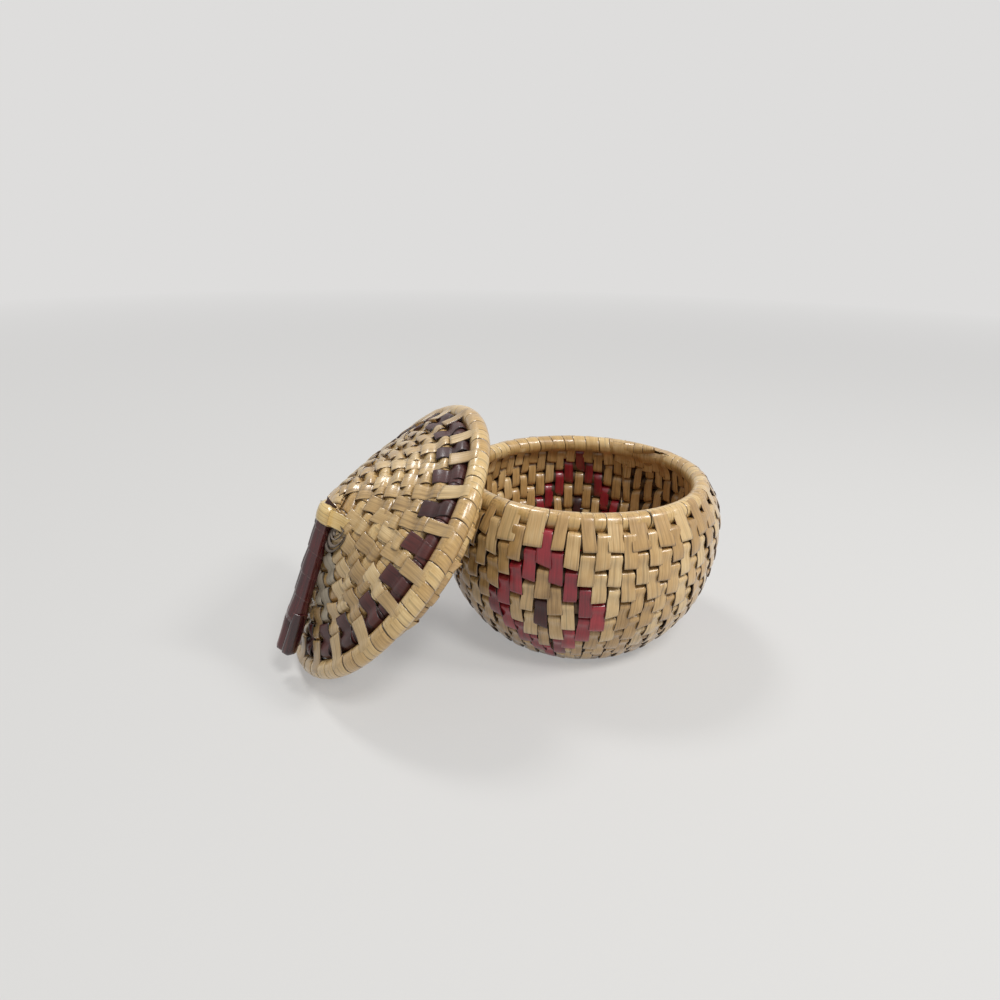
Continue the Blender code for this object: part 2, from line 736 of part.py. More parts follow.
def make_lid():
    lid = empty("lid_frame")
    rim, cone, flange = make_lid_coils(lid)
    lid_dark_row(lid)
    lid.matrix_world = leaning_frame([(rim, LID_RIM_COIL_RADIUS), (flange, FLANGE_COIL_RADIUS)])
    make_lid_knot(lid)
    hinge = empty("handle_hinge", lid)
    stitched = loop_points(LID, joint(LID, 0), joint(LID, 2)), LID_COIL_RADIUS + STITCH_LIFT + STITCH_THICKNESS
    hinge.matrix_local = resting_hinge([(cone, LID_COIL_RADIUS), stitched, (rim, LID_RIM_COIL_RADIUS)])
    make_handle_tie(hinge)
    make_handle(hinge)
    bpy.context.view_layer.update()
    report(lid, hinge)


def report(lid, hinge):
    """Prints where the lid and the hinge of its handle lie."""
    for name, obj in (("lid", lid), ("hinge", hinge)):
        place = obj.matrix_world.translation
        print(f"{name} at", [round(value, 5) for value in place])
        for axis, column in zip("XYZ", obj.matrix_world.to_3x3().transposed()):
            print(f"{name} {axis}", [round(value, 5) for value in column])


def main():
    clear_scene()
    make_bowl()
    make_lid()


main()
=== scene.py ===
"""Looks of the coiled basket and its leaning lid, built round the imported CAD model.

Every visible surface is split palm leaf, wound round a bundle of grass or carried over two rows of it in
a long stitch. Lengths are in metres, +Z is up, and azimuths run from the front (-Y) towards +X.
"""

import json
import logging
import math
from collections.abc import Callable
from dataclasses import dataclass, field
from enum import Enum

import bpy
import numpy as np
from mathutils import Matrix, Vector


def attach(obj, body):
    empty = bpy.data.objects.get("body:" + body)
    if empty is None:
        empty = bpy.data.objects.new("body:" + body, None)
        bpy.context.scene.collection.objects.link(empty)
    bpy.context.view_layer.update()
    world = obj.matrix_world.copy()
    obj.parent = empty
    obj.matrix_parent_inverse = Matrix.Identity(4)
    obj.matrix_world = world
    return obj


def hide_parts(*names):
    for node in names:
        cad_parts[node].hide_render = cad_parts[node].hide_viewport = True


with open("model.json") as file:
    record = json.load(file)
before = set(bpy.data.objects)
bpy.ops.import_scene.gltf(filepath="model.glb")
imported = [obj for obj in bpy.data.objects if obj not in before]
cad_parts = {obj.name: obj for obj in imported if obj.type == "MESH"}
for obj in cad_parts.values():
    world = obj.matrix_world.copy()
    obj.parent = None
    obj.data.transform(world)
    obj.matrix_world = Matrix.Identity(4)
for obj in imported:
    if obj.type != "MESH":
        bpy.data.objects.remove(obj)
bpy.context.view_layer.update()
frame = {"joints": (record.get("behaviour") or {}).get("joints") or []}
LOG = logging.getLogger("basket")
MM = 0.001
TURN = 2 * math.pi


class Side(Enum):
    """The side of a wall that a stitch lies on."""

    OUTER = 1
    INNER = -1


class Tint(Enum):
    """Colours of leaf that the maker dyed or left plain."""

    TAN = "tan"
    RED = "red"
    BROWN = "brown"


def linear(hex_colour: str) -> tuple[float, float, float, float]:
    """Turns an sRGB colour into linear light.

    Args:
        hex_colour: six hex digits.

    Returns:
        Red, green, blue and full alpha.
    """
    channels = [int(hex_colour[i : i + 2], 16) / 255 for i in (0, 2, 4)]
    light = [c / 12.92 if c <= 0.04045 else ((c + 0.055) / 1.055) ** 2.4 for c in channels]
    return (*light, 1.0)


def stacked(*parts: np.ndarray | float) -> np.ndarray:
    """Returns values spread to one shape and stacked on a last axis."""
    return np.stack(np.broadcast_arrays(*parts), -1)


def add_node(
    tree: bpy.types.NodeTree, kind: str, values: dict | None = None, links: dict | None = None, **settings: object
) -> bpy.types.Node:
    """Adds one node with its settings, socket values and links.

    Args:
        tree: the tree that gets the node.
        kind: the node's type, without the ShaderNode prefix.
        values: socket values by name or index.
        links: output sockets by the name or index of the input that they feed.
        settings: attributes of the node itself.

    Returns:
        The new node.
    """
    node = tree.nodes.new(f"ShaderNode{kind}")
    for name, value in settings.items():
        setattr(node, name, value)
    for key, value in (values or {}).items():
        node.inputs[key].default_value = value
    for key, source in (links or {}).items():
        tree.links.new(source, node.inputs[key])
    return node


@dataclass(frozen=True)
class LeafFinish:
    """Split palm leaf: dried, scraped flat and wound while damp, so it dries with a waxy sheen.

    The eye sees long fibres along the strip and a different shade on each strip; its cut edges are darkened as
    painted shade, and on the maroon handle lightened as painted highlights.
    """

    name: str
    light: str
    middle: str
    dark: str
    # Colour of the cut edges: dark as painted shade, pale on the maroon handle as painted highlights
    edge: str
    roughness: float = 0.42
    coat: float = 0.25
    fibre_mm: float = 0.55
    split_mm: float = 1.2
    blotch_mm: float = 9.0
    bump_mm: float = 0.12
    coat_roughness: float = 0.18
    # Waxed leaf, a little under the usual 1.5
    ior: float = 1.48
    # How far a strip's own shade moves its colour from dark to light
    shade_share: float = 0.34
    # The same for its fibres and its blotches, each with what is added
    fibre_share: tuple[float, float] = (0.62, -0.13)
    blotch_share: tuple[float, float] = (0.42, -0.06)
    # Where the dark, middle and light colours stand
    stops: tuple[float, float, float] = (0.12, 0.45, 0.85)
    # How much of the edge's colour a split in the leaf shows
    split_depth: float = 0.36
    # How much rougher the fibres are than the leaf between them, and how much smoother that is than the mean
    fibre_roughness: tuple[float, float] = (0.25, 0.12)

    def grain(
        self, tree: bpy.types.NodeTree, width_mm: float, drawn: float, detail: float, roughness: float = 0.5
    ) -> bpy.types.NodeSocket:
        """Adds noise of a real size across the strip, drawn out along it.

        Args:
            tree: the tree that gets the nodes.
            width_mm: the noise's size across the strip.
            drawn: its size across as a share of its size along.
            detail: the noise's levels of detail.
            roughness: how strong its finer levels are.

        Returns:
            The socket that gives the noise.
        """
        place = add_node(tree, "UVMap", uv_map="leaf")
        scale = (1 / width_mm, drawn / width_mm, 1)
        laid = add_node(tree, "Mapping", {"Scale": scale}, {0: place.outputs[0]})
        values = {"Scale": 1.0, "Detail": detail, "Roughness": roughness}
        return add_node(tree, "TexNoise", values, {0: laid.outputs[0]}).outputs[0]

    def build(self) -> bpy.types.Material:
        """Builds the material, which reads each strip's shade and edges from the mesh.

        Returns:
            The new material.
        """
        made = bpy.data.materials.new(self.name)
        made.use_nodes = True
        tree = made.node_tree
        shader = tree.nodes["Principled BSDF"]
        strip = add_node(tree, "VertexColor", layer_name="strip")
        parts = add_node(tree, "SeparateColor", links={0: strip.outputs["Color"]})
        fibres = self.grain(tree, self.fibre_mm, 0.05, 3.0, 0.6)
        blotches = self.grain(tree, self.blotch_mm, 1.0, 2.0)
        veins = self.grain(tree, self.split_mm, 0.03, 1.0)
        shade = add_node(tree, "Math", {1: self.shade_share}, {0: parts.outputs["Red"]}, operation="MULTIPLY")
        weights = {1: self.fibre_share[0], 2: self.fibre_share[1]}
        streak = add_node(tree, "Math", weights, {0: fibres}, operation="MULTIPLY_ADD")
        weights = {1: self.blotch_share[0], 2: self.blotch_share[1]}
        blotch = add_node(tree, "Math", weights, {0: blotches}, operation="MULTIPLY_ADD")
        both = add_node(tree, "Math", links={0: shade.outputs[0], 1: streak.outputs[0]}, operation="ADD")
        links = {0: both.outputs[0], 1: blotch.outputs[0]}
        total = add_node(tree, "Math", links=links, operation="ADD", use_clamp=True)
        ramp = add_node(tree, "ValToRGB", links={0: total.outputs[0]})
        colours = ramp.color_ramp.elements
        colours[0].position, colours[0].color = self.stops[0], linear(self.dark)
        colours[1].position, colours[1].color = self.stops[2], linear(self.light)
        colours.new(self.stops[1]).color = linear(self.middle)
        # Painted shade: the mesh's edge mask mixes in the edge colour at cut edges and ends; where that colour is
        # pale, as on the handle, it paints highlights
        worn = add_node(tree, "MapRange", {"From Min": 0.7, "From Max": 0.95}, {0: parts.outputs["Green"]})
        values = {"From Min": 0.54, "From Max": 0.7, "To Max": self.split_depth}
        splits = add_node(tree, "MapRange", values, {0: veins})
        marks = add_node(tree, "Math", links={0: worn.outputs[0], 1: splits.outputs[0]}, operation="MAXIMUM")
        links = {0: marks.outputs[0], 6: ramp.outputs[0]}
        colour = add_node(tree, "Mix", {7: linear(self.edge)}, links, data_type="RGBA")
        tree.links.new(colour.outputs[2], shader.inputs["Base Color"])
        weights = {1: self.fibre_roughness[0], 2: self.roughness - self.fibre_roughness[1]}
        shine = add_node(tree, "Math", weights, {0: fibres}, operation="MULTIPLY_ADD")
        tree.links.new(shine.outputs[0], shader.inputs["Roughness"])
        values = {"Strength": 0.5, "Distance": self.bump_mm * MM}
        bump = add_node(tree, "Bump", values, {"Height": fibres})
        tree.links.new(bump.outputs[0], shader.inputs["Normal"])
        shader.inputs["Coat Weight"].default_value = self.coat
        shader.inputs["Coat Roughness"].default_value = self.coat_roughness
        shader.inputs["IOR"].default_value = self.ior
        return made


# Split from the smooth outer face of the leaf: golden, with a waxy gloss on every bend
TAN_LEAF = LeafFinish("tan_palm_leaf_outer_face", "E6CB98", "C29C64", "8A6738", "4A2F14", 0.32, 0.8)
# The same leaf wound tight, with painted shade darkening it where two turns meet
TAN_WRAP = LeafFinish("tan_palm_leaf_wrapping", "E8CC94", "C9A468", "987445", "40290F", 0.34, 0.7)
# Scraped with the inner face out: paler and less glossy
PALE_LEAF = LeafFinish("pale_palm_leaf_scraped_face", "E6CC9B", "BE9D69", "866840", "4A3015", 0.36, 0.6)
# Weathered beside the handle, where hands rub the wax away: greyer and dull
WORN_LEAF = LeafFinish("greyed_palm_leaf_rubbed_dull", "CFC5B0", "A39680", "6A5E4D", "352B22", 0.52, 0.15)
# Dyed in the leaf: a deep crimson that wears lighter along its fibres
RED_LEAF = LeafFinish("red_dyed_palm_leaf", "B42B36", "8C1C28", "5C0F1A", "2E0910", 0.32, 0.6)
# Dyed in the leaf: brown near to black, with a reddish cast in the light
BROWN_LEAF = LeafFinish("dark_brown_dyed_palm_leaf", "632A24", "3F1917", "220C0B", "120605", 0.42, 0.15)
# Dyed and rolled lengthwise: dark red, with pale lines along its strip edges, seams and splits as painted
# highlights
MAROON_LEAF = LeafFinish("maroon_dyed_palm_leaf_handle", "611519", "3A0D11", "1C0608", "85504A", 0.28, 0.7, 0.9)
# The shiniest strip, which caps the handle's root: almost gilt, its colours made paler in part as painted
# highlights
GILT_LEAF = LeafFinish("polished_tan_palm_leaf_lashing", "F4DFA6", "D6B26C", "9A753A", "553A18", 0.24, 1.0)
# Loose ends that have greyed and frayed: dull and rough
GREY_LEAF = LeafFinish("greyed_frayed_leaf_ends", "D6CABC", "94877A", "4A3D39", "241B1A", 0.6, 0.1, 0.4)
# The same wrapping, seen only in the gaps between the stitches: darkened all over as painted shade
SHADED_BUNDLE = LeafFinish("leaf_wrapping_deep_in_the_wall", "6C5130", "48321C", "28190C", "140C06", 0.6, 0.0, 0.5)


class Finishes:
    """Builds each finish once."""

    def __init__(self) -> None:
        """Starts with no material built."""
        self.made: dict[str, bpy.types.Material] = {}

    def get(self, finish: LeafFinish) -> bpy.types.Material:
        """Gives the material of a finish, and builds it at its first use.

        Args:
            finish: the finish.

        Returns:
            Its material.
        """
        if finish.name not in self.made:
            self.made[finish.name] = finish.build()
        return self.made[finish.name]


FINISHES = Finishes()


@dataclass
class Sheets:
    """Gathers grids of points into one mesh, with their leaf coordinates and shades."""

    name: str
    finish: LeafFinish
    points: list[np.ndarray] = field(default_factory=list)
    faces: list[np.ndarray] = field(default_factory=list)
    leaf: list[np.ndarray] = field(default_factory=list)
    strip: list[np.ndarray] = field(default_factory=list)
    count: int = 0

    def add(
        self, grid: np.ndarray, leaf: np.ndarray, strip: np.ndarray, closed: bool = False, flip: bool = False
    ) -> None:
        """Adds a grid of points as quads.

        Args:
            grid: points, as rows by columns by 3.
            leaf: leaf coordinates in millimetres, rows by columns by 2.
            strip: shade, edge and way along, rows by columns by 3.
            closed: joins the last column to the first.
            flip: turns the faces over.
        """
        rows, columns = grid.shape[:2]
        last = columns if closed else columns - 1
        i, j = np.meshgrid(np.arange(rows - 1), np.arange(last), indexing="ij")
        k = (j + 1) % columns
        corners = [i * columns + j, i * columns + k, (i + 1) * columns + k, (i + 1) * columns + j]
        faces = np.stack(corners[::-1] if flip else corners, -1).reshape(-1, 4) + self.count
        self.points.append(grid.reshape(-1, 3))
        self.leaf.append(leaf.reshape(-1, 2))
        self.strip.append(strip.reshape(-1, 3))
        self.faces.append(faces)
        self.count += rows * columns

    def build(self, matrix: Matrix | None = None) -> bpy.types.Object:
        """Makes the mesh object.

        Args:
            matrix: moves the points from a local frame to the row frame.

        Returns:
            The new object, linked to the scene.
        """
        points = np.concatenate(self.points)
        if matrix is not None:
            turn = np.array(matrix.to_3x3())
            points = points @ turn.T + np.array(matrix.translation)
        faces = np.concatenate(self.faces)
        mesh = bpy.data.meshes.new(self.name)
        mesh.vertices.add(len(points))
        mesh.vertices.foreach_set("co", points.astype(np.float32).ravel())
        mesh.loops.add(faces.size)
        mesh.loops.foreach_set("vertex_index", faces.ravel().astype(np.int32))
        mesh.polygons.add(len(faces))
        mesh.polygons.foreach_set("loop_start", np.arange(0, faces.size, 4, dtype=np.int32))
        mesh.update(calc_edges=True)
        leaf = np.concatenate(self.leaf)[faces.ravel()].astype(np.float32)
        mesh.uv_layers.new(name="leaf").data.foreach_set("uv", leaf.ravel())
        strip = np.concatenate(self.strip)
        shades = np.concatenate([strip, np.ones((len(strip), 1))], 1).astype(np.float32)
        mesh.color_attributes.new("strip", "FLOAT_COLOR", "POINT").data.foreach_set("color", shades.ravel())
        mesh.shade_smooth()
        mesh.validate()
        mesh.materials.append(FINISHES.get(self.finish))
        made = bpy.data.objects.new(self.name, mesh)
        bpy.context.scene.collection.objects.link(made)
        return made


@dataclass
class Winding:
    """A coil in level rings that steps one row on in a short run at the end of each turn."""

    outline: np.ndarray
    first_step: float
    pitch: float
    step_end: float
    outer_side: int
    radius: float
    rim_radius: float
    step_run: float = 28 * MM
    # Most of a turn that a step takes: small rings step together, so that no gap opens between them
    step_share: float = 0.12

    def __post_init__(self) -> None:
        """Measures the outline."""
        steps = np.linalg.norm(np.diff(self.outline, axis=0), axis=1)
        self.lengths = np.concatenate([[0], np.cumsum(steps)])

    def section(self, row: np.ndarray) -> tuple[np.ndarray, np.ndarray]:
        """Finds the coil's middle, and goes straight on past both ends of the outline.

        Args:
            row: rows from the rim's middle.

        Returns:
            Radius and height of the coil's middle.
        """
        row = np.asarray(row, float)
        length = np.where(row < 1, row * self.first_step, self.first_step + (row - 1) * self.pitch)
        before, after = np.minimum(length, 0), np.maximum(length - self.lengths[-1], 0)
        ahead = (self.outline[1] - self.outline[0]) / (self.lengths[1] - self.lengths[0])
        beyond = (self.outline[-1] - self.outline[-2]) / (self.lengths[-1] - self.lengths[-2])
        radius, height = (
            np.interp(length, self.lengths, self.outline[:, i]) + before * ahead[i] + after * beyond[i]
            for i in (0, 1)
        )
        return radius, height

    def ring(self, row: float) -> float:
        """Returns the radius of the level ring at a row."""
        return float(self.section(np.array(float(row)))[0])

    def directions(self, row: np.ndarray) -> tuple[np.ndarray, np.ndarray]:
        """Finds the ways along the profile and out of it.

        Args:
            row: rows from the rim's middle.

        Returns:
            The two unit ways, each as (radius, height) on the last axis.
        """
        ahead, behind = self.section(row + 0.25), self.section(np.asarray(row) - 0.25)
        along = np.stack([ahead[0] - behind[0], ahead[1] - behind[1]], -1)
        along = along / np.linalg.norm(along, axis=-1, keepdims=True)
        return along, self.outer_side * np.stack([-along[..., 1], along[..., 0]], -1)

    def step(self, row: np.ndarray, azimuth: np.ndarray) -> np.ndarray:
        """Finds how far the coil has stepped on.

        Args:
            row: rows, as the level part of the coil counts them.
            azimuth: azimuths of the points.

        Returns:
            Shares of a row, from 0 to 1.
        """
        around = TURN * self.section(row)[0]
        share = np.minimum(self.step_share, self.step_run / np.maximum(around, self.step_run))
        turned = np.mod((azimuth - self.step_end) / TURN, 1)
        reach = np.clip((turned - 1 + share) / share, 0, 1)
        return reach * reach * (3 - 2 * reach) * 0.5 + reach * 0.5

    def points(
        self, row: np.ndarray, azimuth: np.ndarray, out: np.ndarray, down: np.ndarray | float = 0.0
    ) -> np.ndarray:
        """Places points beside the coil's middle.

        Args:
            row: rows from the rim's middle, with the step in them.
            azimuth: azimuths of the points.
            out: lengths out of the wall.
            down: lengths along the profile.

        Returns:
            The points, with a last axis of 3.
        """
        radius, height = self.section(row)
        along, outward = self.directions(row)
        radius = radius + outward[..., 0] * out + along[..., 0] * down
        height = height + outward[..., 1] * out + along[..., 1] * down
        return np.stack([radius * np.sin(azimuth), -radius * np.cos(azimuth), height], -1)

    def surface(self, row: np.ndarray, azimuth: np.ndarray, out: np.ndarray) -> np.ndarray:
        """Places points over the wall, which follow the coil where it steps.

        Args:
            row: rows, as the level part of the coil counts them.
            azimuth: azimuths of the points.
            out: lengths out of the wall.

        Returns:
            The points, with a last axis of 3.
        """
        return self.points(row + self.step(row, azimuth), azimuth, out)


@dataclass
class Wrapping:
    """Leaf wound round the coil: each turn of leaf laps a little over the last."""

    winding: Winding
    seed: int
    width: float = 4.6 * MM
    lap: float = 0.16 * MM
    sides: int = 14
    slant: float = 0.35
    # The least and the most that a turn leans, as a share of the slant
    leans: tuple[float, float] = (0.75, 1.15)
    # Places across one turn of leaf, and how far it stands up there, in laps
    stations: tuple[float, ...] = (0.0, 0.035, 0.1, 0.5, 0.9, 0.965, 1.0)
    lifts: tuple[float, ...] = (-1.2, 0.1, 0.5, 0.6, 0.7, 0.4, -1.2)
    # How near to a cut edge each place is, which darkens it there as painted shade where two turns meet
    edges: tuple[float, ...] = (1.0, 0.8, 0.0, 0.0, 0.0, 0.8, 1.0)
    # How far apart the patterns of two turns can lie, in millimetres of leaf
    pattern_shift: float = 50.0

    def cover(
        self, sheets: Sheets, start: float, end: float, radius_at: Callable[[float], float], spread: float = 0.18
    ) -> None:
        """Winds leaf along the coil.

        Args:
            sheets: takes the leaf.
            start: turns of the coil where the leaf begins.
            end: turns where it ends.
            radius_at: gives the leaf's radius for turns.
            spread: share by which the widths differ.
        """
        rng = np.random.default_rng(self.seed)
        around = np.linspace(0, TURN, self.sides, endpoint=False)
        stations, lifts = np.array(self.stations), np.array(self.lifts) * self.lap
        edge = np.array(self.edges)[:, None]
        turns = start
        while turns < end:
            run = max(self.winding.ring(math.floor(turns) + 1), 5 * MM) * TURN
            share = min(self.width * rng.uniform(1 - spread, 1 + spread) / run, end - turns + 1e-6)
            at = turns + share * stations
            lean = self.slant * rng.uniform(*self.leans) * self.width / run
            place = at[:, None] + lean * np.cos(around) * 0.5
            radius = np.array([radius_at(t) for t in at])[:, None] + lifts[:, None]
            tone = rng.uniform(0, 1)
            across = (stations * self.width / MM)[:, None]
            leaf = stacked(across, (radius / MM) * around + self.pattern_shift * tone)
            strip = stacked(tone, edge, stations[:, None], place)[..., :3]
            grid = self.ring_points(place, around, radius)
            sheets.add(grid, leaf, strip, closed=True, flip=self.winding.outer_side < 0)
            turns += share

    def ring_points(self, turns: np.ndarray, around: np.ndarray, radius: np.ndarray) -> np.ndarray:
        """Places points round the coil's middle.

        Args:
            turns: turns of the coil at each point.
            around: each point's angle round the coil's middle, from the way out of the wall.
            radius: its distance from the coil's middle.

        Returns:
            The points, with a last axis of 3.
        """
        wound, loop = self.winding, np.floor(turns)
        row = loop + wound.step(loop + 1, wound.step_end + TURN * (turns - loop))
        out, down = radius * np.cos(around), radius * np.sin(around)
        return wound.points(row, wound.step_end + TURN * turns, out, down)


@dataclass(frozen=True)
class StitchForm:
    """How a long stitch lies over two coils.

    Its profile holds pairs of a share of the stitch's length and a height over the coils' skin in millimetres.
    """

    top_width: float
    end_width: float
    profile: tuple[tuple[float, float], ...]
    crown: float = 0.12 * MM
    thickness: float = 0.45 * MM
    slip: float = 0.45 * MM


# Comes up out of a hollow in a tight bend, runs straight, and its cut end stands proud of the next stitch
SHINGLE = (
    (-0.03, -2.9), (0.0, -2.3), (0.018, -1.6), (0.034, -0.85), (0.052, -0.2), (0.076, 0.3), (0.105, 0.62),
    (0.145, 0.8), (0.195, 0.8), (0.25, 0.66), (0.32, 0.48), (0.4, 0.45), (0.48, 0.62), (0.56, 0.92),
    (0.65, 1.2), (0.76, 1.34), (0.86, 1.38), (0.922, 1.26), (0.93, 0.8), (0.915, -0.5),
)
# The same over coils that show through as two humps
RIDGED = (
    (-0.03, -2.3), (0.0, -1.7), (0.018, -0.95), (0.04, -0.1), (0.07, 0.5), (0.12, 0.9), (0.2, 1.0),
    (0.29, 0.72), (0.38, 0.15), (0.46, -0.3), (0.52, -0.32), (0.59, 0.1), (0.67, 0.7), (0.77, 1.08),
    (0.88, 1.15), (0.945, 1.0), (0.955, 0.6), (0.94, -0.6),
)
# Goes down into a hollow at both ends
PILLOW = (
    (-0.02, -2.6), (0.02, -1.5), (0.06, -0.55), (0.12, 0.1), (0.22, 0.5), (0.37, 0.68),
    (0.55, 0.68), (0.72, 0.62), (0.84, 0.35), (0.92, -0.2), (0.965, -1.2), (1.0, -2.5),
)


def hem(across: np.ndarray, depth: float) -> np.ndarray:
    """Returns how far each place across a strip is turned in: only the first and the last are."""
    return depth * (np.arange(len(across)) % (len(across) - 1) == 0)


@dataclass
class Stitcher:
    """Lays long stitches on one side of a winding."""

    winding: Winding
    side: Side
    form: StitchForm
    seed: int
    # Whether its stitches stay level where the coil steps down
    level: bool = False
    # Places across a stitch, of which the outermost two are the hem of a cut edge
    across: tuple[float, ...] = (-1.0, -1.0, -0.88, -0.4, 0.4, 0.88, 1.0, 1.0)
    # Shares of its length between which its width changes, and the weights of top and end between them
    width_places: tuple[float, float, float] = (0.06, 0.2, 0.85)
    neck: tuple[float, float] = (0.55, 0.45)
    # Hand work: least and most width, farthest slip, and the spreads of skew, lean and height
    widths: tuple[float, float] = (0.87, 1.07)
    farthest: float = 0.9 * MM
    skew: float = 0.4 * MM
    lean: float = 0.1 * MM
    lift: float = 0.08 * MM
    # Over the rim: height above its skin, the least way out, and the row where the stitch comes off it
    rim_lift: float = 0.35 * MM
    rim_least: float = 1.2 * MM
    rim_row: float = 0.15
    # Below the rim: the row where it lands, its height there and what it gains by its end, in millimetres
    landing: float = 0.7
    rise: tuple[float, float] = (0.55, 0.65)
    # How far its start turns in, and the top and foot of its cut end
    start_tuck: float = 0.5 * MM
    end_tuck: tuple[float, float] = (0.45 * MM, 1.6 * MM)
    # How dark the painted shade on its cut edges and its cut end is, and where that end begins
    edge_shade: float = 0.95
    end_shade: float = 0.8
    end_place: float = 0.97
    # How far apart the patterns of two stitches can lie, in millimetres of leaf
    pattern_shift: float = 60.0

    def __post_init__(self) -> None:
        """Starts the stitcher's own run of chances."""
        self.rng = np.random.default_rng(self.seed)

    def lay(
        self, sheets: Sheets, first_row: float, azimuth: float, rows: float = 2.0, scale: float = 1.0
    ) -> None:
        """Lays one long stitch.

        Args:
            sheets: takes the stitch.
            first_row: the hollow that it comes out of, in rows.
            azimuth: the middle of the stitch.
            rows: how many rows it crosses.
            scale: how wide it is drawn, as a share of its form.
        """
        shares, heights = np.array(self.form.profile).T
        self.place(sheets, first_row + shares * rows, self.winding.radius + heights * MM, azimuth, scale)

    def lay_rim(self, sheets: Sheets, azimuth: float, start: float, end: float, scale: float = 1.0) -> None:
        """Lays a stitch that comes over the rim's coil and crosses the first row.

        Args:
            sheets: takes the stitch.
            azimuth: the middle of the stitch.
            start: where it leaves the rim, in rows from the rim's middle.
            end: where it ends, in rows.
            scale: how wide it is drawn, as a share of its form.
        """
        wound = self.winding
        rows = np.concatenate([start + (end - start) * np.linspace(0, 1, 13), [end + 0.01, end]])
        skin = wound.rim_radius + self.rim_lift
        around = np.sqrt(np.maximum(skin**2 - (rows * wound.first_step) ** 2, self.rim_least**2))
        landed = np.clip((rows - self.landing) / (end - self.landing), 0, 1)
        flat = wound.radius + (self.rise[0] + self.rise[1] * landed) * MM
        outs = np.where(rows < self.rim_row, around, np.maximum(flat, around))
        outs[0] -= self.start_tuck
        outs[-2:] -= np.array(self.end_tuck)
        self.place(sheets, rows, outs, azimuth, scale)

    def place(self, sheets: Sheets, rows: np.ndarray, outs: np.ndarray, azimuth: float, scale: float) -> None:
        """Builds a stitch's sheet along its profile, a little askew as hand work is.

        Args:
            sheets: takes the stitch.
            rows: rows along the stitch.
            outs: lengths out of the wall along it.
            azimuth: its middle.
            scale: how wide it is drawn.
        """
        form, rng, wound = self.form, self.rng, self.winding
        across = np.array(self.across)
        share = (rows - rows[0]) / (rows.max() - rows[0])
        neck = self.neck[0] * form.top_width + self.neck[1] * form.end_width
        width = np.interp(share, self.width_places, (form.top_width, neck, form.end_width))
        width = (width * scale * rng.uniform(*self.widths))[:, None]
        top, end = (np.clip(rng.normal(0, form.slip), -self.farthest, self.farthest) for _ in range(2))
        slide = (top * (1 - share) + end * share)[:, None]
        shift = (slide + across * width / 2) / np.maximum(wound.section(rows)[0], 4 * MM)[:, None]
        slant = rng.normal(0, self.skew) / wound.pitch
        rows_at = rows[:, None] + slant * across * share[:, None]
        if self.level:
            rows_at = rows_at - wound.step(rows_at, azimuth + shift)
        lean, lift = rng.normal(0, self.lean), rng.normal(0, self.lift)
        heights = outs[:, None] + lift - form.crown * across**2 + lean * across - hem(across, form.thickness)
        grid = wound.surface(rows_at, azimuth + shift, self.side.value * heights)
        tone = rng.uniform(0, 1)
        leaf = stacked(across * width / 2 / MM + self.pattern_shift * tone, (rows * wound.pitch / MM)[:, None])
        # Painted shade: the cut end and the hemmed edges take the finish's darker edge colour
        ends = np.clip((share - self.end_place) / (1 - self.end_place), 0, 1)[:, None] * self.end_shade
        edge = np.maximum((np.abs(across) >= 1) * self.edge_shade, ends)
        strip = stacked(tone, edge, share[:, None])
        sheets.add(grid, leaf, strip, flip=self.side.value * wound.outer_side > 0)


def neighbours(angles: np.ndarray) -> tuple[np.ndarray, np.ndarray]:
    """Finds the azimuths on both sides of each of a ring's.

    Args:
        angles: the ring's azimuths, in order.

    Returns:
        The azimuths before and the azimuths after.
    """
    before, after = np.roll(angles, 1), np.roll(angles, -1)
    before[0] -= TURN
    after[-1] += TURN
    return before, after


def interleave(angles: np.ndarray, count: int, rng: np.random.Generator) -> np.ndarray:
    """Places the next ring's stitches between those of the last, and leaves some out as the ring shrinks.

    Args:
        angles: the last ring's azimuths, in order.
        count: how many the next ring has.
        rng: breaks ties between equally close stitches.

    Returns:
        The next ring's azimuths.
    """
    between = (angles + neighbours(angles)[1]) / 2
    while len(between) > count:
        before, after = neighbours(between)
        between = np.delete(between, np.argmin(after - before + rng.uniform(0, 0.02, len(between))))
    before, after = neighbours(between)
    return between * 0.7 + (before + after) * 0.15


def rim_to_wall(rim: float, wall: float) -> Callable[[float], float]:
    """Gives the leaf's radius along a coil that starts in a short taper on its rim.

    Args:
        rim: its radius on the rim.
        wall: its radius below the rim.

    Returns:
        A function from turns of the coil to the radius.
    """

    def radius_at(turns: float) -> float:
        """Finds the radius.

        Args:
            turns: turns of the coil.

        Returns:
            The radius of the leaf there.
        """
        if turns < 0:
            return max(1.2 * MM, rim * max(0.0, 1 + turns / 0.062) ** 0.5)
        return rim + (wall - rim) * min(1, max(0, (turns - 0.9) / 0.1))

    return radius_at


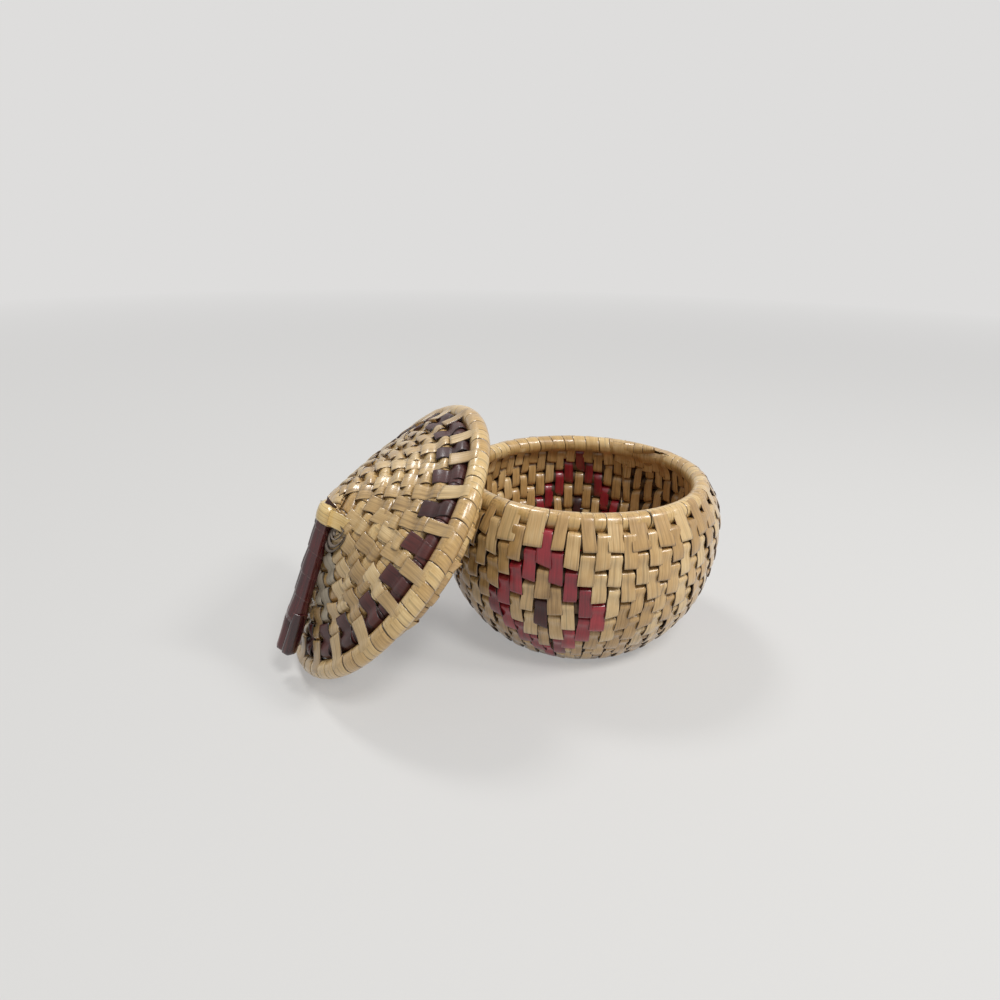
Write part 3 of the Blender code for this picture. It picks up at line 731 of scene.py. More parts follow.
@dataclass(frozen=True)
class Knot:
    """A round knot of crossed leaf: a low lens with strips over it."""

    name: str
    radius: float
    low: float
    high: float
    seed: int
    strips: int = 6
    half_strip: float = 2.1 * MM
    # Places across a strip, of which the outermost two are its hem
    across: tuple[float, ...] = (-1.0, -1.0, -0.4, 0.4, 1.0, 1.0)
    # How far a strip lies over the lens, how far its edges bend down, and how far it lies over the last strip
    lift: float = 0.35 * MM
    bend: float = 0.3 * MM
    ply: float = 0.05 * MM

    def sheets(self) -> Sheets:
        """Lays the lens and its strips.

        Returns:
            The sheets that hold the knot.
        """
        rng = np.random.default_rng(self.seed)
        sheets = Sheets(self.name, TAN_LEAF)
        middle = (self.low + self.high) / 2
        half = self.high - middle
        turns = np.linspace(0, TURN, 24, endpoint=False)
        rings = np.linspace(0.02, 1, 9)[:, None]
        bulge = np.sqrt(1 - np.minimum(rings, 0.999) ** 4)
        for sign in (1, -1):
            far = self.radius * rings
            grid = stacked(far * np.cos(turns), far * np.sin(turns), middle + sign * half * bulge)
            strip = stacked(0.4, 0.0, rings, turns)[..., :3]
            sheets.add(grid, grid[..., :2] / MM, strip, closed=True, flip=sign < 0)
        across, along = np.array(self.across), np.linspace(-1, 1, 11)[:, None]
        for i in range(self.strips):
            angle, tone = i * TURN / (2 * self.strips) + rng.normal(0, 0.1), rng.uniform(0, 1)
            u, v = along * self.radius * 0.97, across * self.half_strip
            far = np.clip(np.hypot(u, v) / self.radius, 0, 0.999)
            height = middle + half * (np.sqrt(1 - far**4) + 0.05) + self.lift - across**8 * self.bend
            height = height - hem(across, 0.5 * MM) + i * self.ply
            ahead, aside = math.cos(angle), math.sin(angle)
            grid = stacked(u * ahead - v * aside, u * aside + v * ahead, height)
            # Painted shade: each strip darkens towards its edges
            strip = stacked(tone, across**4, np.abs(along))
            sheets.add(grid, stacked(v / MM + 40 * tone, u / MM), strip)
        return sheets


def level_floor(piece: bpy.types.Object) -> None:
    """Presses the underside of a piece flat where it stands."""
    for vertex in piece.data.vertices:
        vertex.co.z = max(vertex.co.z, 0.0)


def finished(piece: bpy.types.Object, body: str, slot: str, *nodes: str) -> bpy.types.Object:
    """Presses a piece's underside flat, sets it on its body and hides the CAD nodes that it stands for.

    Args:
        piece: the piece.
        body: the CAD body that it moves with.
        slot: the record's material slot; not used.
        nodes: CAD nodes that it replaces.

    Returns:
        The piece.
    """
    level_floor(piece)
    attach(piece, body)
    if nodes:
        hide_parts(*nodes)
    LOG.info("%s rides on %s, %d faces", piece.name, body, len(piece.data.polygons))
    return piece


@dataclass
class Bowl:
    """The bowl: one coil from its rim down and in to the middle of its base."""

    mouth: float = 51.0 * MM
    rim_height: float = 68.8 * MM
    belly: float = 56.6 * MM
    belly_height: float = 52.0 * MM
    foot: float = 34.7 * MM
    fullness: float = 2.6
    coil: float = 3.05 * MM
    gap: float = 0.7 * MM
    rim: float = 3.65 * MM
    floor_cut: float = 0.5 * MM
    step_end: float = math.radians(150)
    columns: int = 68
    # Turns of the coil where its start tapers off, and where the rim, the wall and the base end
    coil_start: float = -0.06
    rim_end: float = 1.1
    wall_end: float = 10.85
    coil_end: float = 14.9
    # Column and azimuth of each diamond's middle, the first twice, and its side
    diamonds: tuple[tuple[int, float], ...] = ((0, -18.5), (22, 95.0), (36, 175.0), (52, 257.0), (68, 341.5))
    sides: tuple[str, ...] = ("front", "right", "back", "left", "front")
    # How far a diamond keeps its columns even, and how far its stitches lie from its middle, in columns
    diamond_reach: float = 4.5
    diamond_half: int = 4
    # Rows of long stitches on the wall, then on the base
    wall_stitches: int = 11
    base_stitches: int = 3
    # Stitches in the ring outside the base's, and how far apart those on the base lie
    base_ring: int = 34
    base_spacing: float = 9.6 * MM
    # Where stitches that come over the rim end, in rows, and how wide those outside are drawn by chance
    rim_stitch_end: float = 1.47
    rim_widths: tuple[float, ...] = (0.8, 1.0, 1.3)
    # Stitches that lap the coil's start, with the first one's place and the next one's, in degrees
    lapping: int = 6
    lapping_places: tuple[float, float] = (2.0, 5.6)

    def winding(self) -> Winding:
        """Works out the winding that the whole bowl follows.

        Returns:
            The winding, from the rim's middle to the base's.
        """
        foot_height = self.coil - self.floor_cut
        heights = np.linspace(self.rim_height, foot_height, 161)
        above = heights > self.belly_height
        upper = (heights - self.belly_height) / (self.rim_height - self.belly_height)
        lower = (self.belly_height - heights) / (self.belly_height - foot_height)
        edge = np.where(above, self.mouth, self.foot)
        radii = self.belly - (self.belly - edge) * np.abs(np.where(above, upper, lower)) ** self.fullness
        outline = np.concatenate([np.stack([radii, heights], 1), [[0, foot_height]]])
        pitch = 2 * self.coil + self.gap
        return Winding(outline, self.rim + self.coil + self.gap, pitch, self.step_end, 1, self.coil, self.rim)

    def azimuth(self, column: float) -> float:
        """Finds a column's azimuth: even within each diamond, and stretched between them.

        Args:
            column: the column.

        Returns:
            Its azimuth.
        """
        step = 360 / self.columns
        knots, places = [], []
        for middle, degrees in self.diamonds:
            knots += [middle - self.diamond_reach, middle + self.diamond_reach]
            places += [degrees - self.diamond_reach * step, degrees + self.diamond_reach * step]
        return math.radians(float(np.interp(column % self.columns, knots, places)))

    def tint(self, stitch: int, column: int) -> Tint:
        """Finds the colour of a long stitch.

        Args:
            stitch: the row below which it starts.
            column: its column.

        Returns:
            Its colour.
        """
        for middle, _ in self.diamonds:
            away = abs(column - middle)
            if away <= self.diamond_half and stitch in (away, 2 * self.diamond_half - away):
                return Tint.RED
            if away == 0 and stitch == self.diamond_half:
                return Tint.BROWN
        return Tint.TAN

    def nearest(self, column: int) -> str:
        """Returns the side whose diamond a column belongs to."""
        return min(zip(self.sides, self.diamonds), key=lambda pair: abs(pair[1][0] - column))[0]

    def narrowing(self, winding: Winding, stitch: int) -> float:
        """Returns how much narrower stitches are drawn where the wall is narrower."""
        return float(np.clip(winding.ring(stitch + 1.5) / (self.belly * 0.985), 0.5, 1.0))

    def build(self) -> None:
        """Builds the coil, its wrapping and the stitches on both sides."""
        winding = self.winding()
        self.build_coil(winding)
        shingle = StitchForm(4.9 * MM, 5.5 * MM, SHINGLE, 0.1 * MM, 0.45 * MM, 0.6 * MM)
        self.build_stitches(Stitcher(winding, Side.OUTER, shingle, 11))
        # Narrower and rounder inside, where the leaf is pulled tight
        pillow = StitchForm(4.3 * MM, 4.8 * MM, PILLOW, 0.35 * MM, 0.7 * MM)
        self.build_stitches(Stitcher(winding, Side.INNER, pillow, 12))
        self.build_rim_joint(winding)
        self.build_base(winding)

    def build_coil(self, winding: Winding) -> None:
        """Winds leaf round the rim, the wall and the base.

        Args:
            winding: the bowl's winding.
        """
        at = rim_to_wall(self.rim + 0.15 * MM, self.coil + self.gap / 2 - 0.2 * MM)
        rim = Sheets("bowl_rim_wrapped", TAN_WRAP)
        Wrapping(winding, 5, 6.2 * MM, 0.13 * MM, 16).cover(rim, self.coil_start, self.rim_end, at, 0.3)
        finished(rim.build(), "bowl", "tan_splint", "bowl_rim_coil")
        # Its finish is darkened as painted shade, since this wrapping shows only in the gaps between the stitches
        wall = Sheets("bowl_wall_wrapped", SHADED_BUNDLE)
        Wrapping(winding, 6, 5.0 * MM, 0.12 * MM, 10).cover(wall, self.rim_end, self.wall_end, at)
        finished(wall.build(), "bowl", "tan_splint", "bowl_wall_coil")
        base = Sheets("bowl_base_wrapped", TAN_WRAP)
        Wrapping(winding, 7, 4.6 * MM, 0.12 * MM, 10).cover(base, self.wall_end, self.coil_end, at)
        finished(base.build(), "bowl", "tan_splint", "bowl_base_coil")

    def build_stitches(self, stitcher: Stitcher) -> None:
        """Lays the long stitches of one side row by row, from the rim's to the base's edge.

        Only those outside stand for the CAD's diamonds.

        Args:
            stitcher: lays them.
        """
        outside, face = stitcher.side is Side.OUTER, stitcher.side.name.lower()
        sides = self.sides[:-1]
        tan = Sheets(f"bowl_{face}_tan_stitches", TAN_LEAF)
        reds = {side: Sheets(f"bowl_{face}_red_diamond_{side}", RED_LEAF) for side in sides}
        browns = {side: Sheets(f"bowl_{face}_brown_centre_{side}", BROWN_LEAF) for side in sides}
        for column in range(1, self.columns, 2):
            if outside:
                wide = 1.06 * float(stitcher.rng.choice(self.rim_widths))
                stitcher.lay_rim(tan, self.azimuth(column), -0.42, self.rim_stitch_end, wide)
            else:
                stitcher.lay_rim(tan, self.azimuth(column), -0.48, self.rim_stitch_end, 1.1)
        for stitch in range(self.wall_stitches):
            scale = self.narrowing(stitcher.winding, stitch)
            for column in range(stitch % 2, self.columns, 2):
                side = self.nearest(column)
                sheets = {Tint.TAN: tan, Tint.RED: reds[side], Tint.BROWN: browns[side]}
                stitcher.lay(sheets[self.tint(stitch, column)], stitch + 0.5, self.azimuth(column), scale=scale)
        finished(tan.build(), "bowl", "tan_splint")
        for side in sides:
            finished(reds[side].build(), "bowl", "red_splint", *[f"red_diamond_{side}"] * outside)
            finished(browns[side].build(), "bowl", "dark_brown_splint", *[f"brown_centre_{side}"] * outside)

    def build_rim_joint(self, winding: Winding) -> None:
        """Laps leaf over the rim where its coil starts on top of the turn that steps down.

        Args:
            winding: the bowl's winding.
        """
        sheets = Sheets("bowl_rim_joint_leaf", TAN_LEAF)
        form = StitchForm(6.6 * MM, 6.2 * MM, PILLOW, 0.25 * MM, 0.6 * MM, 0.4 * MM)
        first, step = self.lapping_places
        for side in Side:
            stitcher = Stitcher(winding, side, form, 15 + side.value, True)
            for place in range(self.lapping):
                azimuth = self.step_end + math.radians(first - step * place)
                stitcher.lay_rim(sheets, azimuth, -0.53, 1.05 + 0.3 * (place % 2))
        finished(sheets.build(), "bowl", "tan_splint")

    def build_base(self, winding: Winding) -> None:
        """Lays the stitches of the flat base and closes its middle with a knot.

        Args:
            winding: the bowl's winding.
        """
        tan = Sheets("bowl_base_stitches", TAN_LEAF)
        last = self.wall_stitches + self.base_stitches - 1
        for side in Side:
            stitcher = Stitcher(winding, side, StitchForm(4.0 * MM, 4.8 * MM, PILLOW), 21 + side.value)
            angles = np.arange(self.base_ring) * TURN / self.base_ring
            for stitch in range(self.wall_stitches, last + 1):
                count = max(7, round(TURN * winding.ring(stitch + 1.5) / self.base_spacing))
                angles = interleave(angles, count, stitcher.rng)
                for angle in angles:
                    stitcher.lay(tan, stitch + 0.5, float(angle), 2.0 if stitch < last else 1.5)
        finished(tan.build(), "bowl", "tan_splint")
        knot = Knot("bowl_base_knot", 10.6 * MM, 0.3 * MM, 6.1 * MM, 3)
        finished(knot.sheets().build(), "bowl", "tan_splint", "bowl_start_knot")


@dataclass
class Lid:
    """The lid: a low cone of coils, its flange, and the frame in which it leans on the bowl."""

    ring: float = 59.6 * MM
    rise: float = 25.6 * MM
    roundness: float = 1.1
    coil: float = 2.95 * MM
    gap: float = 0.7 * MM
    rim: float = 3.7 * MM
    step_end: float = math.radians(302)
    # Turns of the coil where its start tapers off, and where the rim, the dark row and the cone end
    coil_start: float = -0.06
    rim_end: float = 0.97
    dark_end: float = 1.95
    coil_end: float = 8.95
    flange_coil: float = 2.7 * MM
    flange_ring: float = 43.85 * MM
    flange_draw: float = 1.2 * MM
    flange_loops: int = 3
    flange_stitches: int = 20
    tilt: float = math.radians(52.0)
    lean: float = math.radians(197.78)
    bearing: float = math.radians(196.5)
    distance: float = 86.38 * MM
    # Stitches that come over the rim, and the azimuth of the first
    rim_stitches: int = 22
    first_stitch: float = math.radians(99)
    # Rings of long stitches, how far apart they lie, and the ring from which they are narrower
    stitch_rings: int = 8
    stitch_spacing: float = 13.4 * MM
    narrow_ring: int = 6
    knot_radius: float = 8.2 * MM
    knot_top: float = 27.5 * MM
    handle_azimuth: float = math.radians(3.6)
    handle_slope: float = math.radians(18.8)
    # Row and azimuth of the frayed ends beside the handle's root
    fray_row: float = 7.05
    fray_azimuth: float = math.radians(74)
    # Reach in millimetres, first angle and sweep of each curl of them
    curls: tuple[tuple[float, float, float], ...] = (
        (6.0, 140, 160),
        (4.4, 110, 190),
        (2.9, 90, 240),
        (1.4, 40, 260),
        (4.6, 0, 75),
        (3.2, 320, 95),
    )
    # First and last ring, middle and half width of the greyed stitches below them
    worn_rings: tuple[int, int] = (2, 5)
    worn_azimuth: float = math.radians(42)
    worn_reach: float = math.radians(15)

    def height(self, radius: np.ndarray) -> np.ndarray:
        """Returns the height of the coil's middle over the rim's plane."""
        return self.rise * (1 - (radius / self.ring) ** self.roundness)

    def winding(self) -> Winding:
        """Works out the winding of the lid's cone.

        Returns:
            The winding, from the rim's middle to the cone's top.
        """
        radii = np.linspace(self.ring, 0, 121)
        outline = np.stack([radii, self.height(radii)], 1)
        pitch = 2 * self.coil + self.gap
        return Winding(outline, self.rim + self.coil + self.gap, pitch, self.step_end, -1, self.coil, self.rim)

    def flange_winding(self) -> Winding:
        """Works out the winding of the flange below the cone.

        Returns:
            The winding, from the flange's highest loop to its lowest.
        """
        pitch = 2 * self.flange_coil + self.gap
        slope = (self.height(self.flange_ring) - self.height(self.flange_ring + pitch)) / pitch
        drop = (self.coil + self.flange_coil + self.gap) * math.hypot(1, slope)
        top = self.height(self.flange_ring) - drop
        low = top - (self.flange_loops - 1) * pitch
        outline = np.array([[self.flange_ring, top], [self.flange_ring - self.flange_draw, low]])
        return Winding(outline, pitch, pitch, self.step_end, 1, self.flange_coil, self.flange_coil)

    def matrix(self) -> Matrix:
        """Works out the place and turn of the leaning lid.

        Returns:
            The lid's frame in the row frame.
        """
        height = self.ring * math.sin(self.tilt) + self.rim
        lean = Vector((math.cos(self.lean), math.sin(self.lean), 0))
        outward = lean * math.sin(self.tilt) + Vector((0, 0, math.cos(self.tilt)))
        across = Vector((0, 0, 1)).cross(lean)
        rotation = Matrix((across, outward.cross(across), outward)).transposed().to_4x4()
        east, north = math.cos(self.bearing) * self.distance, math.sin(self.bearing) * self.distance
        return Matrix.Translation((east, north, height)) @ rotation

    def handle_way(self) -> Vector:
        """Works out how the handle lies.

        Returns:
            The way from its root to its end, in the row frame.
        """
        flat = Vector((math.sin(self.handle_azimuth), -math.cos(self.handle_azimuth), 0))
        drop = Vector((0, 0, math.sin(self.handle_slope)))
        return self.matrix().to_3x3() @ (flat * math.cos(self.handle_slope) - drop)

    def build(self) -> None:
        """Builds the lid's coils, stitches, flange and centre."""
        winding, place = self.winding(), self.matrix()
        self.build_coils(winding, place)
        for side in Side:
            self.build_stitches(winding, place, side)
        self.build_flange(place)
        knot = Knot("lid_centre_knot", self.knot_radius, self.rise - self.coil, self.knot_top, 61)
        finished(knot.sheets().build(place), "lid", "tan_splint", "lid_start_knot")
        self.build_fray(winding, place)

    def build_coils(self, winding: Winding, place: Matrix) -> None:
        """Winds leaf round the rim, the dark row and the rest of the cone.

        Args:
            winding: the cone's winding.
            place: the lid's frame.
        """
        at = rim_to_wall(self.rim + 0.15 * MM, self.coil + self.gap / 2 - 0.1 * MM)
        rim = Sheets("lid_rim_wrapped", TAN_WRAP)
        Wrapping(winding, 31, 5.6 * MM, 0.13 * MM, 16).cover(rim, self.coil_start, self.rim_end, at, 0.3)
        finished(rim.build(place), "lid", "tan_splint", "lid_rim_coil")
        dark = Sheets("lid_dark_row_wrapped", BROWN_LEAF)
        Wrapping(winding, 32, 4.6 * MM, 0.18 * MM, 14).cover(dark, self.rim_end, self.dark_end, at)
        finished(dark.build(place), "lid", "dark_brown_splint", "lid_dark_stitches")
        cone = Sheets("lid_cone_wrapped", TAN_WRAP)
        Wrapping(winding, 33, 4.4 * MM, 0.2 * MM, 14).cover(cone, self.dark_end, self.coil_end, at)
        finished(cone.build(place), "lid", "tan_splint", "lid_cone_coil")

    def rubbed(self, ring: int, angle: float) -> bool:
        """Returns whether a long stitch lies where hands have rubbed the leaf grey."""
        first, last = self.worn_rings
        return first <= ring <= last and abs(math.remainder(angle - self.worn_azimuth, TURN)) < self.worn_reach

    def build_stitches(self, winding: Winding, place: Matrix, side: Side) -> None:
        """Lays the long stitches of one side of the cone, ring by ring.

        Args:
            winding: the cone's winding.
            place: the lid's frame.
            side: the side that they lie on.
        """
        outer, word = side is Side.OUTER, side.name.lower()
        profile = RIDGED if outer else PILLOW
        form = StitchForm(4.9 * MM, 6.4 * MM, profile, 0.15 * MM, 0.5 * MM, 0.6 * MM)
        stitcher = Stitcher(winding, side, form, 41 if outer else 42)
        tan = Sheets(f"lid_{word}_tan_stitches", PALE_LEAF)
        dark = Sheets(f"lid_{word}_dark_stitches", BROWN_LEAF)
        worn = Sheets(f"lid_{word}_greyed_stitches", WORN_LEAF)
        count = self.rim_stitches
        angles = (np.arange(count) + stitcher.rng.normal(0, 0.07, count)) * TURN / count + self.first_stitch
        for angle in angles:
            stitcher.lay_rim(tan, float(angle), -0.3, 1.5, 0.92)
        for ring in range(self.stitch_rings):
            if ring:
                count = max(4, round(TURN * winding.ring(ring + 1.5) / self.stitch_spacing))
            angles = interleave(angles, count, stitcher.rng)
            rows = 2.0 if ring < self.stitch_rings - 1 else 1.5
            scale = 1.0 if ring < self.narrow_ring else 0.85
            for angle in angles:
                sheets = dark if ring == 0 else worn if outer and self.rubbed(ring, angle) else tan
                stitcher.lay(sheets, ring + 0.5, float(angle), rows, scale)
        if outer:
            finished(worn.build(place), "lid", "tan_splint")
        finished(tan.build(place), "lid", "tan_splint")
        finished(dark.build(place), "lid", "dark_brown_splint")

    def build_flange(self, place: Matrix) -> None:
        """Winds the flange and sews its loops to each other and to the cone.

        Args:
            place: the lid's frame.
        """
        winding = self.flange_winding()
        radius = self.flange_coil + self.gap / 2 - 0.1 * MM
        coil = Sheets("lid_flange_wrapped", TAN_WRAP)
        last = self.flange_loops - 1
        Wrapping(winding, 51, 4.8 * MM, 0.18 * MM, 12).cover(coil, 0.0, last + 0.88, lambda turns: radius)
        finished(coil.build(place), "lid", "tan_splint", "lid_flange_coil")
        tan = Sheets("lid_flange_stitches", TAN_LEAF)
        angles = np.arange(self.flange_stitches) * TURN / self.flange_stitches
        for side in Side:
            stitcher = Stitcher(winding, side, StitchForm(4.6 * MM, 5.2 * MM, PILLOW), 52 + side.value, True)
            for ring in range(self.flange_loops):
                for angle in angles + ring % 2 * TURN / (2 * self.flange_stitches):
                    stitcher.lay(tan, ring - 0.5, float(angle), 2.0 if ring < last else 1.0)
        finished(tan.build(place), "lid", "tan_splint")

    def build_fray(self, winding: Winding, place: Matrix) -> None:
        """Curls greyed ends of leaf beside the handle's root.

        Args:
            winding: the cone's winding.
            place: the lid's frame.
        """
        rng = np.random.default_rng(67)
        sheets = Sheets("lid_frayed_ends", GREY_LEAF)
        around = winding.ring(self.fray_row)
        steps, across = np.linspace(0, 1, 18), np.array([-1.0, -1.0, 0.0, 1.0, 1.0])
        for reach, first, sweep in self.curls:
            angle = np.radians(first + sweep * steps)[:, None]
            far = (reach + 0.6 * np.sin(steps * 4 + reach)) * MM
            wide = (0.48 + 0.16 * np.sin(steps * 5 + reach) - 0.3 * steps**3) * MM
            at = far[:, None] + across * wide[:, None]
            lift = (0.6 + 0.7 * np.sin(math.pi * steps) ** 0.7 + rng.uniform(0, 1.1)) * MM
            high = winding.radius + lift[:, None] + 0.3 * MM * across - hem(across, 0.5 * MM)
            rows = self.fray_row + at * np.sin(angle) / winding.pitch
            grid = winding.surface(rows, self.fray_azimuth + at * np.cos(angle) / around, high)
            tone = rng.uniform(0, 1)
            leaf = stacked(across + 20 * tone, steps[:, None] * reach * 3)
            # Painted shade: the curls' hemmed edges take the dark edge colour
            strip = stacked(tone, (np.abs(across) >= 1) * 0.9, steps[:, None])
            sheets.add(grid, leaf, strip, flip=True)
        finished(sheets.build(place), "lid", "tan_splint")


@dataclass
class Handle:
    """The handle: strips of dark leaf round a core, folded back at the end and lashed to the lid."""

    hinge: Vector
    along: Vector
    pin: Vector
    wrap_end: float = 45.0 * MM
    length: float = 62.8 * MM
    # Where the shaft starts, its radius at the hinge and what it gains by the end of its wrapping
    shaft_start: float = 4.0 * MM
    shaft: float = 2.5 * MM
    shaft_gain: float = 0.85 * MM
    # Long strips of the shaft, the bulge of each, and how far every second one stands out
    strips: int = 6
    strip_bulge: float = 0.5 * MM
    strip_ridge: float = 0.15 * MM
    # How far the winding moves on in a turn, and how far each turn stands over the next
    wound_pitch: float = 9.5 * MM
    wound_lap: float = 0.26 * MM
    # Offset, half width and lift of each lobe of the doubled end, in millimetres
    lobes: tuple[tuple[float, float, float], ...] = ((-2.7, 2.5, 0.2), (2.9, 2.3, 0.6), (0.1, 1.9, -1.1))
    lobe_depth: float = 3.2 * MM
    # Where the collar's section turns, along the handle and out of it, in millimetres
    collar_places: tuple[float, ...] = (-2.2, -2.0, 0.0, 2.0, 2.4)
    collar_radii: tuple[float, ...] = (3.6, 4.15, 4.3, 4.2, 3.6)
    # Start and end of the cap and of the band of the lashing, in millimetres
    lashing: tuple[tuple[float, float], ...] = ((-3.1, 0.8), (0.3, 5.4))
    # Height of each place across the band over its least radius, in millimetres
    band_radius: float = 3.35 * MM
    band_section: tuple[float, ...] = (-0.3, 0.0, 0.15, 0.32, 0.2, 0.05, -0.45)
    # The tie's two strips go down beside the band, clear of the handle's swing: aside and up, in millimetres
    near_aside: tuple[float, ...] = (5.15, 5.15, 5.3, 5.8, 6.7, 7.8, 8.8, 9.3)
    near_up: tuple[float, ...] = (1.5, 0.8, -0.4, -1.5, -2.8, -3.6, -4.3, -5.4)
    beyond_aside: tuple[float, ...] = (5.15,) * 8
    beyond_up: tuple[float, ...] = (0.6, 0.0, -1.0, -2.0, -3.0, -3.8, -4.6, -5.4)
    # Places across a strip of the tie and across the brown end, of which the outermost two are the hem
    across: tuple[float, ...] = (-1.0, -1.0, -0.85, 0.0, 0.85, 1.0, 1.0)

    def matrix(self) -> Matrix:
        """Works out the handle's frame: X along it, Y along the hinge, Z away from the lid.

        Returns:
            The frame in the row frame.
        """
        turn = Matrix((self.along, self.pin, self.along.cross(self.pin))).transposed().to_4x4()
        return Matrix.Translation(self.hinge) @ turn

    def build(self) -> None:
        """Builds the handle and its lashing."""
        place = self.matrix()
        self.build_shaft(place)
        self.build_fold(place)
        rng = np.random.default_rng(73)
        self.build_band(place, rng)
        self.build_tie(place, rng)
        self.build_brown_end(place)

    def build_shaft(self, place: Matrix) -> None:
        """Builds the shaft as a ring of long strips with slight ridges.

        Args:
            place: the handle's frame.
        """
        sheets = Sheets("handle_shaft", MAROON_LEAF)
        rng = np.random.default_rng(71)
        along = np.linspace(self.shaft_start, self.wrap_end + 2.0 * MM, 130)[:, None]
        share = along / self.wrap_end
        waves = 0.1 * MM * np.sin(along / (3.1 * MM)) + 0.06 * MM * np.sin(along / (1.7 * MM) + 1)
        body = self.shaft + self.shaft_gain * share + waves
        across = np.linspace(-1, 1, 8)
        for i in range(self.strips):
            middle = TURN * i / self.strips + rng.normal(0, 0.06)
            drift = 0.35 * share + 0.08 * np.sin(share * 5 + i)
            angle = middle + drift + across * (TURN / self.strips * 0.56)
            lift = self.strip_bulge * (1 - across**2) + self.strip_ridge * (i % 2)
            wound = np.mod(along / self.wound_pitch + angle / TURN, 1)
            radius = body + lift + self.wound_lap * wound
            grid = stacked(along, radius * np.cos(angle), radius * np.sin(angle))
            tone = rng.uniform(0, 1)
            leaf = stacked(across * 1.7 + 30 * tone, along / MM)
            # Painted highlights: the seam where each wound turn ends, and the strips' edges, take the pale edge
            # colour
            seam_glint = np.clip((wound - 0.93) / 0.05, 0, 0.9)
            strip = stacked(tone, np.maximum(0.85 * across**4, seam_glint), share)
            sheets.add(grid, leaf, strip, flip=True)
        finished(sheets.build(place), "handle", "maroon_strip", "handle_wrap", "handle_core")

    def build_fold(self, place: Matrix) -> None:
        """Builds the end, where the strips double back in two lobes round a hollow.

        Args:
            place: the handle's frame.
        """
        sheets = Sheets("handle_folded_end", MAROON_LEAF)
        rng = np.random.default_rng(72)
        start, steps = self.wrap_end - 1.5 * MM, np.linspace(0, 1, 14)
        turns = np.linspace(0, TURN, 12, endpoint=False)
        # A lobe closes in a round end and starts a little narrow
        close = np.sqrt(np.clip(1 - np.clip((steps - 0.86) / 0.14, 0, 1) ** 2.6, 0.05, 1))
        close = (close * np.clip(0.75 + steps * 1.2, 0, 1))[:, None]
        for lobe, (offset, width, lift) in enumerate(self.lobes):
            reach = (start + (self.length - start) * steps * (1 - 0.04 * lobe))[:, None]
            bend = ((offset + 0.4 * np.sin(steps * 3 + lobe)) * MM)[:, None]
            y = bend + width * MM * close * np.cos(turns)
            z = lift * MM + self.lobe_depth * close * np.sin(turns)
            tone = rng.uniform(0, 1)
            leaf = stacked(turns * 2.2 + 30 * tone, reach / MM)
            strip = stacked(tone, 0.35 + 0.3 * np.cos(turns * 3), steps[:, None])
            sheets.add(stacked(reach, y, z), leaf, strip, closed=True, flip=True)
        collar = Sheets("handle_collar", MAROON_LEAF)
        at = (np.array(self.collar_places) * MM + self.wrap_end)[:, None]
        radius = (np.array(self.collar_radii) * MM)[:, None]
        turns = np.linspace(0, TURN, 20, endpoint=False)
        y, z = radius * np.cos(turns) * 1.08, radius * np.sin(turns) * 0.96
        leaf = stacked(at / MM, turns * 4)
        # The collar's two ends take the pale edge colour as painted highlights
        strip = stacked(0.6, np.array([1, 0.2, 0, 0.2, 1.0])[:, None], turns / TURN)
        collar.add(stacked(at + 0.9 * MM * np.cos(turns), y, z), leaf, strip, closed=True, flip=True)
        finished(sheets.build(place), "handle", "maroon_strip", "handle_end_fold")
        finished(collar.build(place), "handle", "maroon_strip")

    def build_band(self, place: Matrix, rng: np.random.Generator) -> None:
        """Builds the tan lashing that caps the handle's root and goes round it.

        Args:
            place: the handle's frame.
            rng: gives each strip its shade.
        """
        band = Sheets("handle_root_lashing", GILT_LEAF)
        turns = np.linspace(0, TURN, 28, endpoint=False)
        steps = np.array([0.0, 0.04, 0.12, 0.5, 0.88, 0.96, 1.0])
        wide = 1 + 0.28 * np.abs(np.cos(turns)) ** 3
        for i, (start, end) in enumerate(self.lashing):
            tone = rng.uniform(0.5, 1)
            at = (start + (end - start) * steps) * MM
            radius = self.band_radius + np.array(self.band_section) * MM
            if i == 0:
                round_end = 1 - np.clip((0.6 * MM - at) / (3.7 * MM), 0, 1) ** 2
                radius = np.sqrt(np.maximum(round_end, 0.0)) * 3.5 * MM
            at, radius = at[:, None], radius[:, None]
            lean = 0.25 * radius * np.cos(turns + 0.6 * i)
            grid = stacked(at + lean, radius * np.cos(turns) * wide, radius * np.sin(turns))
            leaf = stacked(at / MM + 40 * tone, turns * 3.4)
            # Painted shade: the band's edges take the dark edge colour
            edges = np.array([1, 0.7, 0, 0, 0, 0.7, 1.0]) * (i > 0)
            band.add(grid, leaf, stacked(tone, edges[:, None], turns / TURN), closed=True, flip=True)
        finished(band.build(place), "handle", "tan_splint", "handle_root_band")

    def build_tie(self, place: Matrix, rng: np.random.Generator) -> None:
        """Builds the two strips that tie the handle's root down to the lid.

        Args:
            place: the handle's frame.
            rng: gives each strip its shade.
        """
        tie = Sheets("handle_tie_leaf", GILT_LEAF)
        across = np.array(self.across)
        sink = hem(across, 0.4 * MM)
        for middle, sign, half, aside, up in (
            (1.6, 1, 3.3, self.near_aside, self.near_up),
            (1.2, -1, 2.6, self.beyond_aside, self.beyond_up),
        ):
            tone = rng.uniform(0.4, 1)
            steps = np.linspace(0, 1, len(up))[:, None]
            x = middle + across * half + 2.2 * steps
            y, z = (np.array(aside) * MM)[:, None], (np.array(up) * MM)[:, None]
            leaf = stacked(across * half + 30 * tone, steps * 9)
            # Painted shade: the tie's hemmed edges take the dark edge colour
            strip = stacked(tone, (np.abs(across) >= 1) * 0.95, steps)
            tie.add(stacked(x * MM, sign * y - sign * sink, z - sink * 0.5), leaf, strip, flip=sign < 0)
        finished(tie.build(place), "lid", "tan_splint", "handle_tie")

